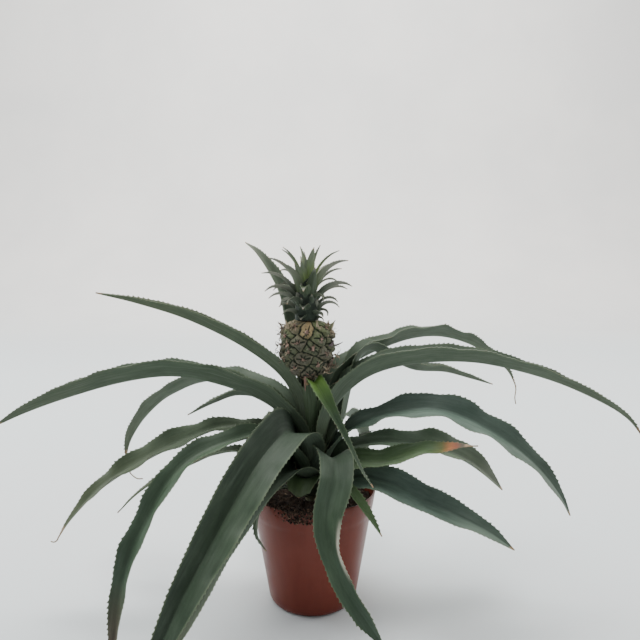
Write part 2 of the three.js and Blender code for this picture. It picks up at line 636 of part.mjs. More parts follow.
// What the leaves keep clear of, besides each other: the stem with its stalk, and the fruit.
const keepOutFoot = FRUIT_FOOT - 2.5;
const keepOutHeight = FRUIT_TOP + 8.5 - FRUIT_FOOT;
const fruitKeepOut = turned(fruitOutline.map(([share, r]) => [
  r * (FRUIT_RADIUS + FRUIT_CLEARANCE), keepOutFoot + keepOutHeight * share,
]), 24).translate(FRUIT_LEAN, 0, 0);
const keepOut = [toSolid(stemGeometry(GAP)), toSolid(fruitKeepOut)];

// The innermost leaves stand as they grow. Each one further out is trimmed where it would
// run into one that is already there.
const leafColours = { orange_tip: 0x5c7040, arrow: 0x4b733c, left_upper: 0x50553f, left_olive: 0x566450 };
const innerFirst = Object.entries(LEAVES).sort(([, a], [, b]) => b.path[0][1] - a.path[0][1]);
for (const [name, leaf] of innerFirst) {
  let solid = toSolid(leafGeometry(leaf, { teeth: TOOTH_HEIGHT }));
  for (const other of keepOut) {
    if (triangleCount(solid.intersect(other)) > 0) solid = solid.subtract(other);
  }
  addPiece("leaf_" + name, toGeometry(mainPiece(solid)), leafColours[name] ?? 0x3d4c42, 0.55);
  keepOut.push(toSolid(leafGeometry(leaf, { grow: GAP, teeth: TOOTH_HEIGHT })));
}

export default plant;
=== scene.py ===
"""A dwarf pineapple plant in a plain nursery pot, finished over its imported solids."""

import math

import bpy
import numpy as np
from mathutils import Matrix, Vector, noise


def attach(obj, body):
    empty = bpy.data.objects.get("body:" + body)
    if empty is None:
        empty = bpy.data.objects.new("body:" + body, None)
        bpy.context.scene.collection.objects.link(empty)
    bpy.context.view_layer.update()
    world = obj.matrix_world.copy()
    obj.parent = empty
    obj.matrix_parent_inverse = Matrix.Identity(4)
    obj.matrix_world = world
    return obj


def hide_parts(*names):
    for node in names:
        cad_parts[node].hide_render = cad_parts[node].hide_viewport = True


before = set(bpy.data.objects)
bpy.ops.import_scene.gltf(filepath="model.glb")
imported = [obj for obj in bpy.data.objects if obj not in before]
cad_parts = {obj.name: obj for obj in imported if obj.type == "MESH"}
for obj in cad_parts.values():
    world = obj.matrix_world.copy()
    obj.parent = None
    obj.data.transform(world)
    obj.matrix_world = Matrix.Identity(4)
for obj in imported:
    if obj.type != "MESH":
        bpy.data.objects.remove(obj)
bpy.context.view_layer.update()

# Sizes are in millimetres and angles in degrees, and turn into metres as a mesh is written.
MM = 0.001
DEG = math.pi / 180

CLEARANCE = 0.3  # between the stem and the peat round it

# Sizes of the pot
POT_STEPS = 128
POT_HEIGHT = 110
RIM_RADIUS = 60
COLLAR_BOTTOM = 90
WALL_FOOT_RADIUS = 42.8
POT_WALL = 1.3
DRAIN_RADIUS = 3
DRAIN_OUT = 23
DRAIN_HOLES = 8
DRAIN_CUT = 7  # length of the cutter for a hole, and the height of its middle
DRAIN_MIDDLE = 2.5
FOOT_NOTCHES = 8
FIRST_NOTCH = -102
NOTCH_OUT = 36
NOTCH_SIZE = (14, 8, 1.8)
NOTCH_MIDDLE = -0.4

# Sizes of the peat and of what lies on it
SOIL_LEVEL = 98
SOIL_RADIUS = 56.3
SOIL_STEPS = 260
HEAP_AZIMUTH = -118  # the peat is heaped against the rim here
HEAP_WIDTH = 34  # degrees to each side
HEAP_START = 34
HEAP_LENGTH = 16
HEAP_HEIGHT = 9
BED_CRUMBS = 1500
SPILL_AZIMUTH = -102
SPILL_DEPTH = 12
SPILL_LUMPS = 900
RIM_CRUMBS = 420
FIBRES = 150
FIBRE_RADIUS = 0.16
FIBRE_STEP = 1.5
FIBRE_LIMIT = 59.5

# Sizes of the stem and of the stalk above it
STEM_RADIUS = 7.3
STEM_FOOT = 86
STEM_SHOULDER = 168
STALK_RADIUS = 5
STALK_TOP = 217
LEAN_FROM = 172  # height from which the stalk leans with the fruit

# Sizes of the fruit
FRUIT_LEAN = -5
FRUIT_FOOT = 217.3
FRUIT_TOP = 271
FRUIT_HEIGHT = FRUIT_TOP - FRUIT_FOOT
FRUIT_RADIUS = 25.5
EYES = 42
EYE_TURN = 137.508
EYE_RELIEF = 3.4
EYE_SQUASH = 0.88
EYE_WANDER = 3  # how far noise moves the grooves, and its scale
WANDER_SCALE = 3.1
GROOVE_SOFTNESS = 1.3
FIRST_EYE = 0.07  # share of the fruit's height, and the share that all the eyes take up
EYE_RANGE = 0.87
MEAN_GIRTH = 0.95  # mean radius as a share of the greatest
CREASE_DEPTH = 1.1
LOOSE_EDGE = 0.9  # how far the lower edge of an eye stands off
ROUGHNESS = 0.8
TAN_EYE = (-80, 0.88)  # azimuth and share of the height of the one dried to tan
TAN_TONE = 1.5
CREASE_WIDTH = 0.72
# Creases of an eye: direction, reach, depth.
CREASES = [(4, 8.5, 1), (176, 8.5, 1), (52, 5.5, 0.8), (112, 5.5, 0.8), (-36, 5, 0.6), (-142, 5, 0.6),
           (-88, 4.5, 0.6)]
DRY_TINTS = {"pink": (0.3, 0.17, 0.145), "straw": (0.38, 0.32, 0.23), "bark": (0.11, 0.085, 0.065),
             "rust": (0.3, 0.21, 0.12), "olive": (0.14, 0.15, 0.08), "mauve": (0.13, 0.1, 0.11)}
# Places where dry curls gather on the fruit: azimuth, height, how many, the longest, and tint.
FRUIT_CURLS = [
    (-25, 230, 10, 11, "bark"), (-10, 238, 7, 9, "bark"), (-40, 226, 9, 10, "straw"),
    (-75, 219.5, 10, 11, "rust"), (-60, 220, 9, 11, "straw"), (-98, 219, 7, 8, "rust"),
    (183, 258, 3, 9, "bark"), (184, 245, 3, 8, "bark"), (205, 266, 9, 9, "straw"),
    (230, 268, 8, 9, "straw"), (-60, 266, 6, 8, "straw"), (-30, 262, 8, 11, "straw"),
    (-5, 268, 6, 9, "straw"), (60, 240, 5, 8, "bark"), (110, 255, 5, 8, "straw"),
    (140, 232, 5, 8, "bark"), (225, 252, 5, 8, "pink"), (215, 238, 5, 8, "bark")]
# Broad dry flaps that stand off the skin, and one that hangs under it: azimuth, height, lift,
# length, width, curl, and tint.
FRUIT_FLAPS = [
    (-24, 261, 75, 12, 9, -25, "olive"), (-8, 262, 60, 9, 7, 30, "straw"),
    (-30, 247, 50, 8, 8, 40, "mauve"), (-2, 246, 20, 9, 5, 20, "mauve"),
    (188, 262, 70, 8, 8, -30, "bark"), (183, 251, 40, 7, 2.4, 240, "bark"),
    (184, 263, 40, 8, 2.4, 240, "bark"), (-28, 230, 30, 8, 7, 80, "bark"),
    (215, 264, 70, 9, 6, 20, "straw"), (-94, 222, -80, 14, 2.6, 6, "pink"),
    (75, 262, 70, 9, 8, -20, "olive"), (130, 258, 60, 8, 7, 25, "straw")]

# Sizes of the crown
CROWN_FOOT = 271.3
CROWN_CORE_TOP = 318
CROWN_FOLD = 36
CROWN_ROLL = -36
CROWN_BEND_RATE = 1.3
CROWN_BACK = 12
CROWN_BACK_FROM = 42
CROWN_BACK_TO = 152
CROWN_BACK_STEP = 0.618
CROWN_BACK_REACH = 36
CROWN_BACK_HALF_WIDTH = 3.8
CROWN_SCALES = 30
CROWN_STEPS = 6
CROWN_HEART = 26  # blades rooted higher than this are the pale young ones
CROWN_TOOTH = 0.55
CROWN_TOOTH_PITCH = 2.4
# The core is painted near black as shade inside the crown.
CORE_SHADE_COLOUR = (0.014, 0.024, 0.014)
SCALE_LENGTH = 13
SCALE_HALF_WIDTH = 4.6
SCALE_REACH = 30  # height over which the scales are spread

# Sizes of the leaves and their teeth
TOOTH_PITCH = 4.2
TOOTH_HEIGHT = 1.15
TOOTH_UNEVEN = (0.6, 1.25)  # the least and the most of the full height
TOOTH_LEAN = 0.55  # how far a tooth points forward, as a share of its height
BARE_FOOT = 8  # length without teeth at a blade's foot
TOOTH_GROWTH = 12  # and the length after it over which they reach their height
TOOTH_FADE = 8  # they fade over the last eighth of the blade
BLADE_SMOOTHING = 50
MARGIN_THICKNESS = 0.38  # share of the thickness at the midrib
LEAF_THICKNESS = 1.3
FOOT_FOLD = 25
SHEATH_FOLD = 52
CLASP_LENGTH = 22  # along a leaf, from its foot to where it clasps most
OPENING_START = 10  # from here on it opens to its own fold
OPENING_SHARE = 0.22  # over this share of its length
SPREAD_LENGTH = 24  # along a leaf, from its foot to where it has its full width
FOOT_HALF_WIDTH = 7.5  # at most, where a leaf leaves the stem
FOOT_SHARE = 0.22  # of the full width, on a narrow leaf
FIRM_BEND = 0.9  # share of the half width that is rounded at the foot of a leaf
SOFT_CREASE = 0.26  # and further out
WAVE_LENGTH = 46
FINE_WAVES = (19, 31)  # lengths of two finer waves on top of it
FINE_SHARE = 0.3
THREAD_HALF_WIDTH = 0.6  # of a dry thread past the tip, and how much of it is lost to its end
THREAD_TAPER = 0.35
DRY_LENGTH = 6
SIDE_SHADE_SOFT = 0.2  # how softly the painted light and shade of the two halves of a leaf meet, as a share of its half width
LIP_FROM = 0.7
LIP_SOFT = 0.16
LIP_COLOUR = (0.5, 0.48, 0.4)
SPIKE_COLOUR = (0.035, 0.048, 0.03)
SPIKE_FOLD = 30
SPIKE_THICKNESS = 0.6
LEAF_COLUMNS = [1, 0.965, 0.88, 0.76, 0.62, 0.46, 0.3, 0.14, 0, -0.14, -0.3, -0.46, -0.62, -0.76, -0.88,
                -0.965, -1]
# Rows from one tooth to the next: share of the way, and share of the tooth's height.
TOOTH_STEPS = [(0, 0.06), (0.42, 0.3), (0.74, 1)]

# Each leaf: azimuth, flat width, fold of each half, roll of the blade, wave of the margins, and
# its midrib as (distance out, height, sideways). Some have an outline of their own, a twist of
# the outer half, a crisper crease, a dry thread that curls on from the tip, a length of dry tip,
# another skin, painted light and painted shade on the near and far halves, a pale lip where the margin
# turns over, or spikes as (start, direction, length, width, curl).
LEAVES = {
    "right_long": dict(
        az=-4, crease=0.14, w=37, fold=58, wave=0.6, outline="tapered", dry=14, skin="pale",
        path=[(9, 148), (20, 186), (44, 213), (74, 227), (112, 233), (150, 233), (188, 226),
              (228, 214), (266, 197), (288, 183), (301, 168)],
        curl=[(305, 159), (307, 150), (310, 142)]),
    "right_back": dict(
        az=31, w=30, fold=55, roll=-6, wave=1.4, dry=14, skin="pale",
        path=[(9, 154), (18, 194), (28, 213), (46, 226), (80, 237), (118, 244), (156, 243),
              (196, 232), (234, 213), (258, 196), (270, 181)],
        curl=[(274, 171), (273, 161), (275, 153)]),
    "right_behind": dict(
        az=21, w=27, fold=48, wave=0.6, skin="pale",
        path=[(9, 140), (30, 172), (37, 196), (42, 218), (50, 234), (62, 238), (80, 229),
              (108, 216), (144, 211), (174, 202), (202, 193)]),
    "right_big": dict(
        az=-14, crease=0.08, w=34, fold=26, roll=32, wave=2.4, outline="necked", dry=10, skin="blue",
        sides=(1.5, 0.86),
        path=[(9, 118), (20, 149), (36, 168), (58, 181), (86, 190), (114, 193), (142, 186),
              (178, 167), (204, 146), (222, 124), (232, 106)]),
    "right_low_back": dict(
        az=4, crease=0.14, w=38, fold=32, roll=22, wave=2, outline="spatula", dry=8,
        sides=(1.45, 0.85), spikes=[((44, 6, 158), (0.93, 0, 0.36), 15, 4.5, 0)],
        path=[(9, 108), (18, 130), (34, 145), (62, 151), (94, 149), (124, 143), (146, 133),
              (166, 119), (186, 101)]),
    "orange_tip": dict(
        az=-25, w=27, fold=22, roll=24, wave=1.2, dry=8, skin="scorched",
        path=[(9, 106), (22, 128), (44, 141), (73, 146), (105, 160), (123, 164), (138, 169),
              (149, 171)],
        curl=[(155, 172)]),
    "right_low": dict(
        az=-25, crease=0.14, w=31, fold=28, roll=36, wave=1.6, dry=9, skin="blue",
        sides=(1.75, 1.05),
        path=[(8.2, 101), (24, 116), (48, 126), (68, 126), (87, 122), (115, 113), (141, 106),
              (167, 97), (188, 86)]),
    "left_upper": dict(
        az=194, w=26, fold=60, wave=0.3, dry=10, skin="olive",
        path=[(9, 148), (12, 178), (20, 204), (37, 227), (70, 252), (113, 275), (154, 290),
              (189, 300)]),
    "left_long": dict(
        az=188, crease=0.14, w=36, fold=58, roll=8, wave=0.8, outline="blunt", dry=14,
        path=[(9, 140), (16, 168), (40, 191), (68, 206), (104, 218), (136, 222), (176, 217),
              (221, 205), (256, 193), (284, 181)]),
    "left_back": dict(
        az=156, w=31, fold=48, wave=0.8, outline="blunt", dry=18, skin="pale",
        path=[(9, 146), (22, 180), (52, 198), (88, 206), (126, 200), (156, 187), (177, 174),
              (201, 152), (219, 127), (226, 106)],
        curl=[(225, 96), (220, 88), (212, 84), (204, 85)]),
    "left_back_tip": dict(
        az=168, w=20, fold=45, wave=0.6,
        path=[(9, 122), (20, 160), (44, 190), (72, 196), (98, 187), (126, 173)]),
    "left_olive": dict(
        az=186, w=32, fold=34, roll=-24, wave=2, outline="waisted", dry=20, skin="olive",
        path=[(9, 114), (22, 146), (48, 168), (83, 171), (115, 161), (143, 149), (171, 134),
              (200, 114), (224, 89), (236, 72)],
        curl=[(238, 68), (241, 66), (244, 67)]),
    "left_droop": dict(
        az=221, w=23, fold=40, roll=-20, wave=1.6, outline="blunt", dry=26, skin="rusty",
        sides=(0.85, 1.1),
        path=[(9, 116), (26, 150), (60, 172), (86, 174), (115, 171), (137, 163), (153, 150),
              (169, 128), (183, 105), (193, 76), (200, 40), (204, 13)]),
    "left_thin": dict(
        az=172, w=12, fold=36, roll=-10, wave=0.8, skin="olive",
        path=[(9, 103), (34, 131), (70, 141), (96, 137), (116, 128), (158, 106), (180, 90),
              (199, 71)]),
    "front_big": dict(
        az=239, crease=0.06, w=44, fold=36, roll=-40, wave=1.6, outline="keel", dry=8, skin="waxy",
        sides=(0.56, 0.9),
        path=[(9, 130), (21, 160), (44, 175), (77, 164, -1), (110, 140, -3), (143, 112, -4),
              (174, 86, -4), (203, 60, -2), (232, 32)]),
    "front_under": dict(
        az=232, w=42, fold=40, roll=-24, wave=0.6, skin="shaded",
        path=[(8.1, 104), (20, 126), (40, 138), (66, 130, -4), (92, 108, -8), (120, 82, -10),
              (146, 52, -8), (170, 24, -6)]),
    "pot_side": dict(
        az=226, w=9, fold=30, wave=0,
        path=[(8.2, 102), (34, 118), (58, 119), (69, 104), (74, 90, 4), (73, 82, 8), (71, 75, 13)]),
    "low_stub": dict(
        az=252, w=36, fold=24, wave=1.2, outline="stub", dry=0.4, skin="stubby",
        path=[(8.1, 104), (14, 119), (24, 126), (33, 122), (39, 114)]),
    "front_middle": dict(
        az=-88, crease=0.14, w=34, fold=28, roll=-8, twist=42, wave=1.4, outline="shrinking", dry=8,
        skin="waxy", sides=(0.95, 1.05), lip=[(0.5, 0), (0.58, 0.8), (0.68, 1), (0.76, 0)],
        path=[(9, 112, 0), (20, 140, 10), (38, 150, 18), (58, 140, 18), (74, 112, 11),
              (88, 84, 15), (106, 58, 29), (130, 30, 53)]),
    "arrow": dict(
        az=-62, crease=0.1, w=18, fold=34, roll=10, wave=0, outline="lance", skin="fresh_then_shaded",
        path=[(7.6, 196), (8.6, 206, -1), (13, 214, -5.5), (22, 216, -8.5), (34, 207, -7),
              (48, 191, -3), (66, 172, 0.5), (88, 154, 1), (106, 147)]),
    "small_right": dict(
        az=-45, w=12, fold=36, roll=10, wave=0.4, skin="young",
        path=[(8.2, 102), (28, 116), (46, 121, -1), (60, 115, -3), (72, 105, -2), (86, 89)]),
    "tall_back": dict(
        az=128, w=26, fold=50, wave=0, skin="pale",
        path=[(9, 160), (22, 205, -3), (42, 243, -8), (53, 262, -9.5), (59, 287, -7.5),
              (74, 310, -4), (95, 330, -1), (116, 341)]),
    "inner_right": dict(
        az=-24, w=20, fold=50, wave=0, skin="young",
        path=[(9, 160), (11, 180), (17, 200), (27, 216)]),
    "inner_front": dict(
        az=256, w=20, fold=50, wave=0, skin="dark",
        path=[(9, 158), (12.5, 176), (15.5, 196), (22, 217)]),
    "back_middle": dict(
        az=93, w=32, fold=40, wave=1.2,
        path=[(9, 132), (24, 172), (54, 200), (94, 210), (140, 202), (184, 180), (220, 146),
              (244, 108)]),
    "back_right": dict(
        az=66, w=30, fold=40, wave=1.2, dry=10,
        path=[(9, 110), (26, 140), (52, 158), (84, 158), (116, 142), (140, 118), (156, 92)]),
    "back_left": dict(
        az=114, w=30, fold=40, wave=1.2, dry=14, skin="olive",
        path=[(9, 106), (26, 136), (54, 154), (88, 152), (120, 134), (144, 108), (160, 80)]),
}

# Share of the full width along a leaf, from its foot to its tip.
OUTLINES = {
    "plain": [(0, 1), (0.1, 1.08), (0.25, 1.02), (0.42, 1), (0.6, 0.94), (0.76, 0.72), (0.9, 0.36),
        (1, 0.03)],
    "blunt": [(0, 1), (0.1, 1.05), (0.25, 1), (0.42, 1), (0.6, 0.98), (0.76, 0.88), (0.9, 0.52),
        (1, 0.03)],
    "lance": [(0, 0.55), (0.12, 0.66), (0.2, 1), (0.3, 0.94), (0.42, 0.62), (0.55, 0.4), (0.7, 0.22),
        (0.85, 0.12), (1, 0.03)],
    "tapered": [(0, 1), (0.1, 1.08), (0.25, 1.05), (0.4, 1), (0.55, 0.8), (0.65, 0.66), (0.8, 0.46),
        (0.9, 0.3), (1, 0.03)],
    "necked": [(0, 1), (0.08, 0.76), (0.13, 0.58), (0.19, 0.56), (0.27, 0.64), (0.36, 0.78),
        (0.46, 0.95), (0.6, 0.94), (0.76, 0.74), (0.9, 0.38), (1, 0.03)],
    "waisted": [(0, 1), (0.1, 1.02), (0.22, 0.6), (0.3, 0.5), (0.38, 0.6), (0.48, 0.94), (0.6, 0.92),
        (0.76, 0.7), (0.9, 0.34), (1, 0.03)],
    "spatula": [(0, 0.8), (0.12, 0.72), (0.3, 0.6), (0.45, 0.72), (0.6, 0.98), (0.74, 1), (0.88, 0.74),
        (1, 0.04)],
    "keel": [(0, 0.9), (0.1, 1), (0.3, 1.04), (0.45, 1), (0.6, 0.86), (0.76, 0.6), (0.9, 0.32),
        (1, 0.03)],
    "shrinking": [(0, 1), (0.2, 1.06), (0.34, 0.96), (0.48, 0.82), (0.6, 0.62), (0.74, 0.54),
        (0.88, 0.46), (1, 0.04)],
    "stub": [(0, 0.9), (0.3, 1), (0.65, 0.95), (0.88, 0.6), (1, 0.08)],
}

# Colour of the upper skin along a leaf, as (share of the length, linear colour).
SKINS = {
    "grey": [(0, (0.09, 0.13, 0.055)), (0.1, (0.056, 0.084, 0.05)), (0.5, (0.055, 0.084, 0.054)),
             (1, (0.064, 0.08, 0.05))],
    "blue": [(0, (0.08, 0.12, 0.05)), (0.1, (0.056, 0.085, 0.062)), (0.5, (0.07, 0.104, 0.084)),
             (1, (0.06, 0.084, 0.064))],
    "waxy": [(0, (0.1, 0.13, 0.075)), (0.1, (0.052, 0.076, 0.054)), (0.5, (0.046, 0.074, 0.044)),
             (1, (0.032, 0.054, 0.034))],
    # Lightened for the high leaves as painted light and sheen from above.
    "pale": [(0, (0.09, 0.12, 0.055)), (0.1, (0.084, 0.116, 0.08)), (0.6, (0.082, 0.11, 0.078)),
             (1, (0.088, 0.104, 0.068))],
    "olive": [(0, (0.09, 0.115, 0.05)), (0.1, (0.064, 0.086, 0.05)), (0.5, (0.064, 0.09, 0.054)),
              (1, (0.076, 0.094, 0.05))],
    "rusty": [(0, (0.08, 0.12, 0.05)), (0.1, (0.05, 0.08, 0.048)), (0.78, (0.048, 0.078, 0.048)),
              (0.92, (0.075, 0.055, 0.036)), (1, (0.14, 0.045, 0.032))],
    # Bright green near the foot; the darker rest of the blade is painted shade.
    "fresh_then_shaded": [(0, (0.05, 0.1, 0.02)), (0.12, (0.085, 0.17, 0.028)), (0.26, (0.08, 0.155, 0.03)),
              (0.36, (0.046, 0.088, 0.027)), (0.48, (0.026, 0.05, 0.023)), (1, (0.02, 0.035, 0.02))],
    "shaded": [(0, (0.026, 0.04, 0.024)), (0.36, (0.028, 0.043, 0.026)), (0.5, (0.05, 0.074, 0.05)),
               (1, (0.076, 0.092, 0.06))],
    "dark": [(0, (0.046, 0.084, 0.03)), (1, (0.036, 0.06, 0.026))],
    "stubby": [(0, (0.05, 0.08, 0.03)), (0.6, (0.04, 0.068, 0.028)), (0.85, (0.07, 0.105, 0.045)),
               (1, (0.15, 0.19, 0.11))],
    "young": [(0, (0.1, 0.16, 0.05)), (0.3, (0.055, 0.1, 0.036)), (1, (0.05, 0.084, 0.036))],
    "scorched": [(0, (0.08, 0.13, 0.045)), (0.15, (0.05, 0.092, 0.036)), (0.78, (0.056, 0.098, 0.038)),
                 (0.84, (0.09, 0.105, 0.036)), (0.89, (0.27, 0.105, 0.04)), (0.925, (0.2, 0.06, 0.03)),
                 (0.95, (0.08, 0.055, 0.036)), (1, (0.07, 0.055, 0.04))],
}

UP = np.array([0, 0, 1])


def smooth(x):
    t = np.clip(x, 0, 1)
    return t * t * (3 - 2 * t)


def mix(a, b, t):
    return a + (b - a) * t


def along(table, u):
    return np.interp(u, [row[0] for row in table], [row[1] for row in table])


def colour_along(stops, u):
    places = [place for place, _ in stops]
    return np.stack([np.interp(u, places, [c[i] for _, c in stops]) for i in range(3)], -1)


def unit(v):
    return v / np.linalg.norm(v, axis=-1, keepdims=True)


def spoke(azimuth):
    """The way straight out from the axis at an azimuth, and the way square to it."""
    a = azimuth * DEG
    return np.array([math.cos(a), math.sin(a), 0]), np.array([-math.sin(a), math.cos(a), 0])


def deselect():
    bpy.ops.object.select_all(action="DESELECT")


def pick_one(piece):
    deselect()
    piece.select_set(True)
    bpy.context.view_layer.objects.active = piece


def apply_modifiers(piece):
    pick_one(piece)
    for modifier in list(piece.modifiers):
        bpy.ops.object.modifier_apply(modifier=modifier.name)


def join(name, pieces):
    """Joins pieces into the first one and gives it a name of its own."""
    deselect()
    for piece in pieces:
        piece.select_set(True)
    bpy.context.view_layer.objects.active = pieces[0]
    bpy.ops.object.join()
    whole = bpy.context.view_layer.objects.active
    whole.name = whole.data.name = name
    return whole


def note(piece, name, values):
    """Keeps a number, or three, on each vertex for the materials to read."""
    values = np.asarray(values, np.float32)
    many = values.ndim > 1
    kind = "FLOAT_VECTOR" if many else "FLOAT"
    layer = piece.data.attributes.new(name, kind, "POINT")
    layer.data.foreach_set("vector" if many else "value", values.ravel())


def smooth_faces(piece, angle):
    pick_one(piece)
    bpy.ops.object.shade_smooth_by_angle(angle=angle * DEG)


def settle(piece, slot, *nodes):
    """A finished piece rides on the plant's body and stands for its solids."""
    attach(piece, "root")
    if nodes:
        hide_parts(*nodes)
    return piece


# Materials

def new_finish(name, **sockets):
    """A material with its own shader, whose plain sockets are set by name."""
    finish = bpy.data.materials.new(name)
    finish.use_nodes = True
    shader = finish.node_tree.nodes["Principled BSDF"]
    for socket, value in sockets.items():
        shader.inputs[socket.replace("_", " ")].default_value = value
    return finish, finish.node_tree, shader


def put(tree, kind, inputs=None, **settings):
    """Adds a node. Inputs are plain values or the sockets that feed them."""
    made = tree.nodes.new(kind)
    for key, value in settings.items():
        setattr(made, key, value)
    for key, value in (inputs or {}).items():
        if isinstance(value, bpy.types.NodeSocket):
            tree.links.new(value, made.inputs[key])
        else:
            made.inputs[key].default_value = value
    return made


def read(tree, name, output="Vector"):
    """What note() kept on the mesh."""
    return put(tree, "ShaderNodeAttribute", attribute_name=name).outputs[output]


def object_place(tree):
    return put(tree, "ShaderNodeTexCoord").outputs["Object"]


def split(tree, vector):
    """The three numbers of a vector, each as a socket."""
    return put(tree, "ShaderNodeSeparateXYZ", {0: vector}).outputs[:]


def maths(tree, operation, a, b):
    return put(tree, "ShaderNodeMath", {0: a, 1: b}, operation=operation).outputs[0]


def stretched(tree, vector, scale):
    return put(tree, "ShaderNodeMapping", {"Vector": vector, "Scale": scale}).outputs[0]


def grain(tree, vector, scale, detail=3.0, rough=0.55):
    """Soft noise from 0 to 1."""
    return put(tree, "ShaderNodeTexNoise", {
        "Vector": vector, "Scale": scale, "Detail": detail, "Roughness": rough}).outputs["Fac"]


def between(tree, value, low, high, out_low=0.0, out_high=1.0):
    """Eases a value from low to high into another range."""
    return put(tree, "ShaderNodeMapRange", {
        "Value": value, "From Min": low, "From Max": high, "To Min": out_low, "To Max": out_high},
        interpolation_type="SMOOTHSTEP").outputs["Result"]


def blend(tree, share, a, b, kind="MIX"):
    """Mixes two colours; share, a and b are values or sockets."""
    made = put(tree, "ShaderNodeMix", data_type="RGBA", blend_type=kind)
    for index, value in ((0, share), (6, a), (7, b)):
        if isinstance(value, bpy.types.NodeSocket):
            tree.links.new(value, made.inputs[index])
        elif index == 0:
            made.inputs[index].default_value = value
        else:
            made.inputs[index].default_value = (*value, 1)
    return made.outputs[2]


def colour_with(tree, shader, colour):
    tree.links.new(colour, shader.inputs["Base Color"])


def relief(tree, shader, height, distance, strength=1.0):
    bump = put(tree, "ShaderNodeBump", {"Height": height, "Distance": distance, "Strength": strength})
    tree.links.new(bump.outputs[0], shader.inputs["Normal"])


def leaf_finish(name, under=False):
    """Leathery skin with a waxy bloom, fine ribs along the blade, a pale toothed margin and a
    dry tip. The underside is paler and silvery between its ribs."""
    finish, tree, shader = new_finish(name, Roughness=0.5, Specular_IOR_Level=0.22)
    place = read(tree, "blade")
    skin = read(tree, "skin")
    across, _, dry = split(tree, read(tree, "state"))
    ribs = grain(tree, stretched(tree, place, (1, 0.03, 1)), 900, 2)
    streaks = grain(tree, stretched(tree, place, (1, 0.06, 1)), 260, 4, 0.65)
    clouds = grain(tree, stretched(tree, place, (1, 0.4, 1)), 55, 4, 0.6)
    specks = grain(tree, place, 1400, 2, 0.7)
    wiped = grain(tree, stretched(tree, place, (1, 0.22, 1)), 130, 5, 0.68)
    colour = blend(tree, between(tree, streaks, 0.25, 0.75), (0.88, 0.88, 0.87), (1.09, 1.09, 1.08))
    shade = blend(tree, between(tree, wiped, 0.35, 0.65), (0.84, 0.86, 0.84), (1.16, 1.13, 1.13))
    colour = blend(tree, 1.0, shade, colour, "MULTIPLY")
    colour = blend(tree, 1.0, skin, colour, "MULTIPLY")
    bloom = maths(tree, "MULTIPLY", between(tree, clouds, 0.4, 0.72), between(tree, streaks, 0.3, 0.8))
    if under:
        colour = blend(tree, 0.3, colour, (0.1, 0.125, 0.085))
        colour = blend(tree, between(tree, ribs, 0.4, 0.7, 0, 0.25), colour, (0.16, 0.19, 0.15))
    else:
        colour = blend(tree, maths(tree, "MULTIPLY", bloom, 0.3), colour, (0.13, 0.155, 0.13))
        colour = blend(tree, between(tree, specks, 0.6, 0.78, 0, 0.3), colour, (0.16, 0.18, 0.15))
        colour = blend(tree, between(tree, specks, 0.4, 0.24, 0, 0.3), colour, (0.02, 0.03, 0.02))
    colour = blend(tree, between(tree, across, 0.92, 0.99, 0, 0.35), colour, (0.15, 0.19, 0.11))
    drying = maths(tree, "ADD", dry, between(tree, clouds, 0.3, 0.7, -0.22, 0.22))
    tan = blend(tree, between(tree, streaks, 0.3, 0.7), (0.16, 0.1, 0.055), (0.36, 0.27, 0.16))
    colour = blend(tree, between(tree, drying, 0.3, 0.75), colour, tan)
    colour_with(tree, shader, colour)
    sheen = (0.3, 0.7, 0.6, 0.75) if under else (0.3, 0.75, 0.46, 0.62)
    tree.links.new(between(tree, clouds, *sheen), shader.inputs["Roughness"])
    height = maths(tree, "ADD", maths(tree, "MULTIPLY", ribs, 0.5), maths(tree, "MULTIPLY", clouds, 1.6))
    relief(tree, shader, height, 0.00035, 0.6)
    return finish


def margin_finish():
    """The thin edge of a leaf and its hooked teeth, straw green and drying to brown."""
    finish, tree, shader = new_finish("leaf margin", Roughness=0.55)
    stains = between(tree, grain(tree, read(tree, "blade"), 320), 0.5, 0.7)
    dry = split(tree, read(tree, "state"))[2]
    colour = blend(tree, 0.4, read(tree, "skin"), (0.19, 0.24, 0.14))
    colour = blend(tree, stains, colour, (0.12, 0.09, 0.05))
    colour = blend(tree, dry, colour, (0.24, 0.16, 0.09))
    colour_with(tree, shader, colour)
    return finish


# Blades

def spline(points, samples=900):
    """Points along a uniform Catmull-Rom curve through the given ones."""
    p = np.array(points, float)
    p = np.vstack([2 * p[0] - p[1], p, 2 * p[-1] - p[-2]])
    t = np.linspace(0, len(p) - 3, samples)
    i = np.minimum(t.astype(int), len(p) - 4)
    w = (t - i)[:, None]
    a, b, c, d = p[i], p[i + 1], p[i + 2], p[i + 3]
    return 0.5 * (2 * b + (c - a) * w + (2 * a - 5 * b + 4 * c - d) * w**2
                  + (3 * b - a - 3 * c + d) * w**3)


def tooth_rows(length, pitch, steps):
    """Places along a blade for its rows, and how far each row's tooth stands out, from 0 to 1."""
    count = max(3, round(length / pitch))
    places, stand = [], []
    for i in range(count):
        for share, out in steps:
            places.append((i + share) * length / count)
            stand.append(out)
    return np.array(places + [length]), np.array(stand + [0.0])


def sheet(name, grid):
    """A sheet of faces through a grid of points, rows along the blade and columns across it."""
    rows, columns = grid.shape[:2]
    deselect()
    bpy.ops.mesh.primitive_grid_add(x_subdivisions=columns - 1, y_subdivisions=rows - 1)
    piece = bpy.context.object
    piece.name = piece.data.name = name
    piece.data.vertices.foreach_set("co", (grid * MM).astype(np.float32).ravel())
    piece.data.update()
    return piece


def blade_axes(curve, run, s, side, roll):
    """Centre, direction, side and face of a blade at each place along it, turned by its roll."""
    centre = np.stack([np.interp(s, run, c) for c in curve.T], -1)
    slope = np.gradient(curve, run, axis=0)
    ahead = unit(np.stack([np.interp(s, run, c) for c in slope.T], -1))
    flat = unit(side - (ahead @ side)[:, None] * ahead)
    face = np.cross(ahead, flat)
    turn = roll[:, None]
    flat = flat * np.cos(turn) + face * np.sin(turn)
    return centre, ahead, flat, np.cross(ahead, flat)


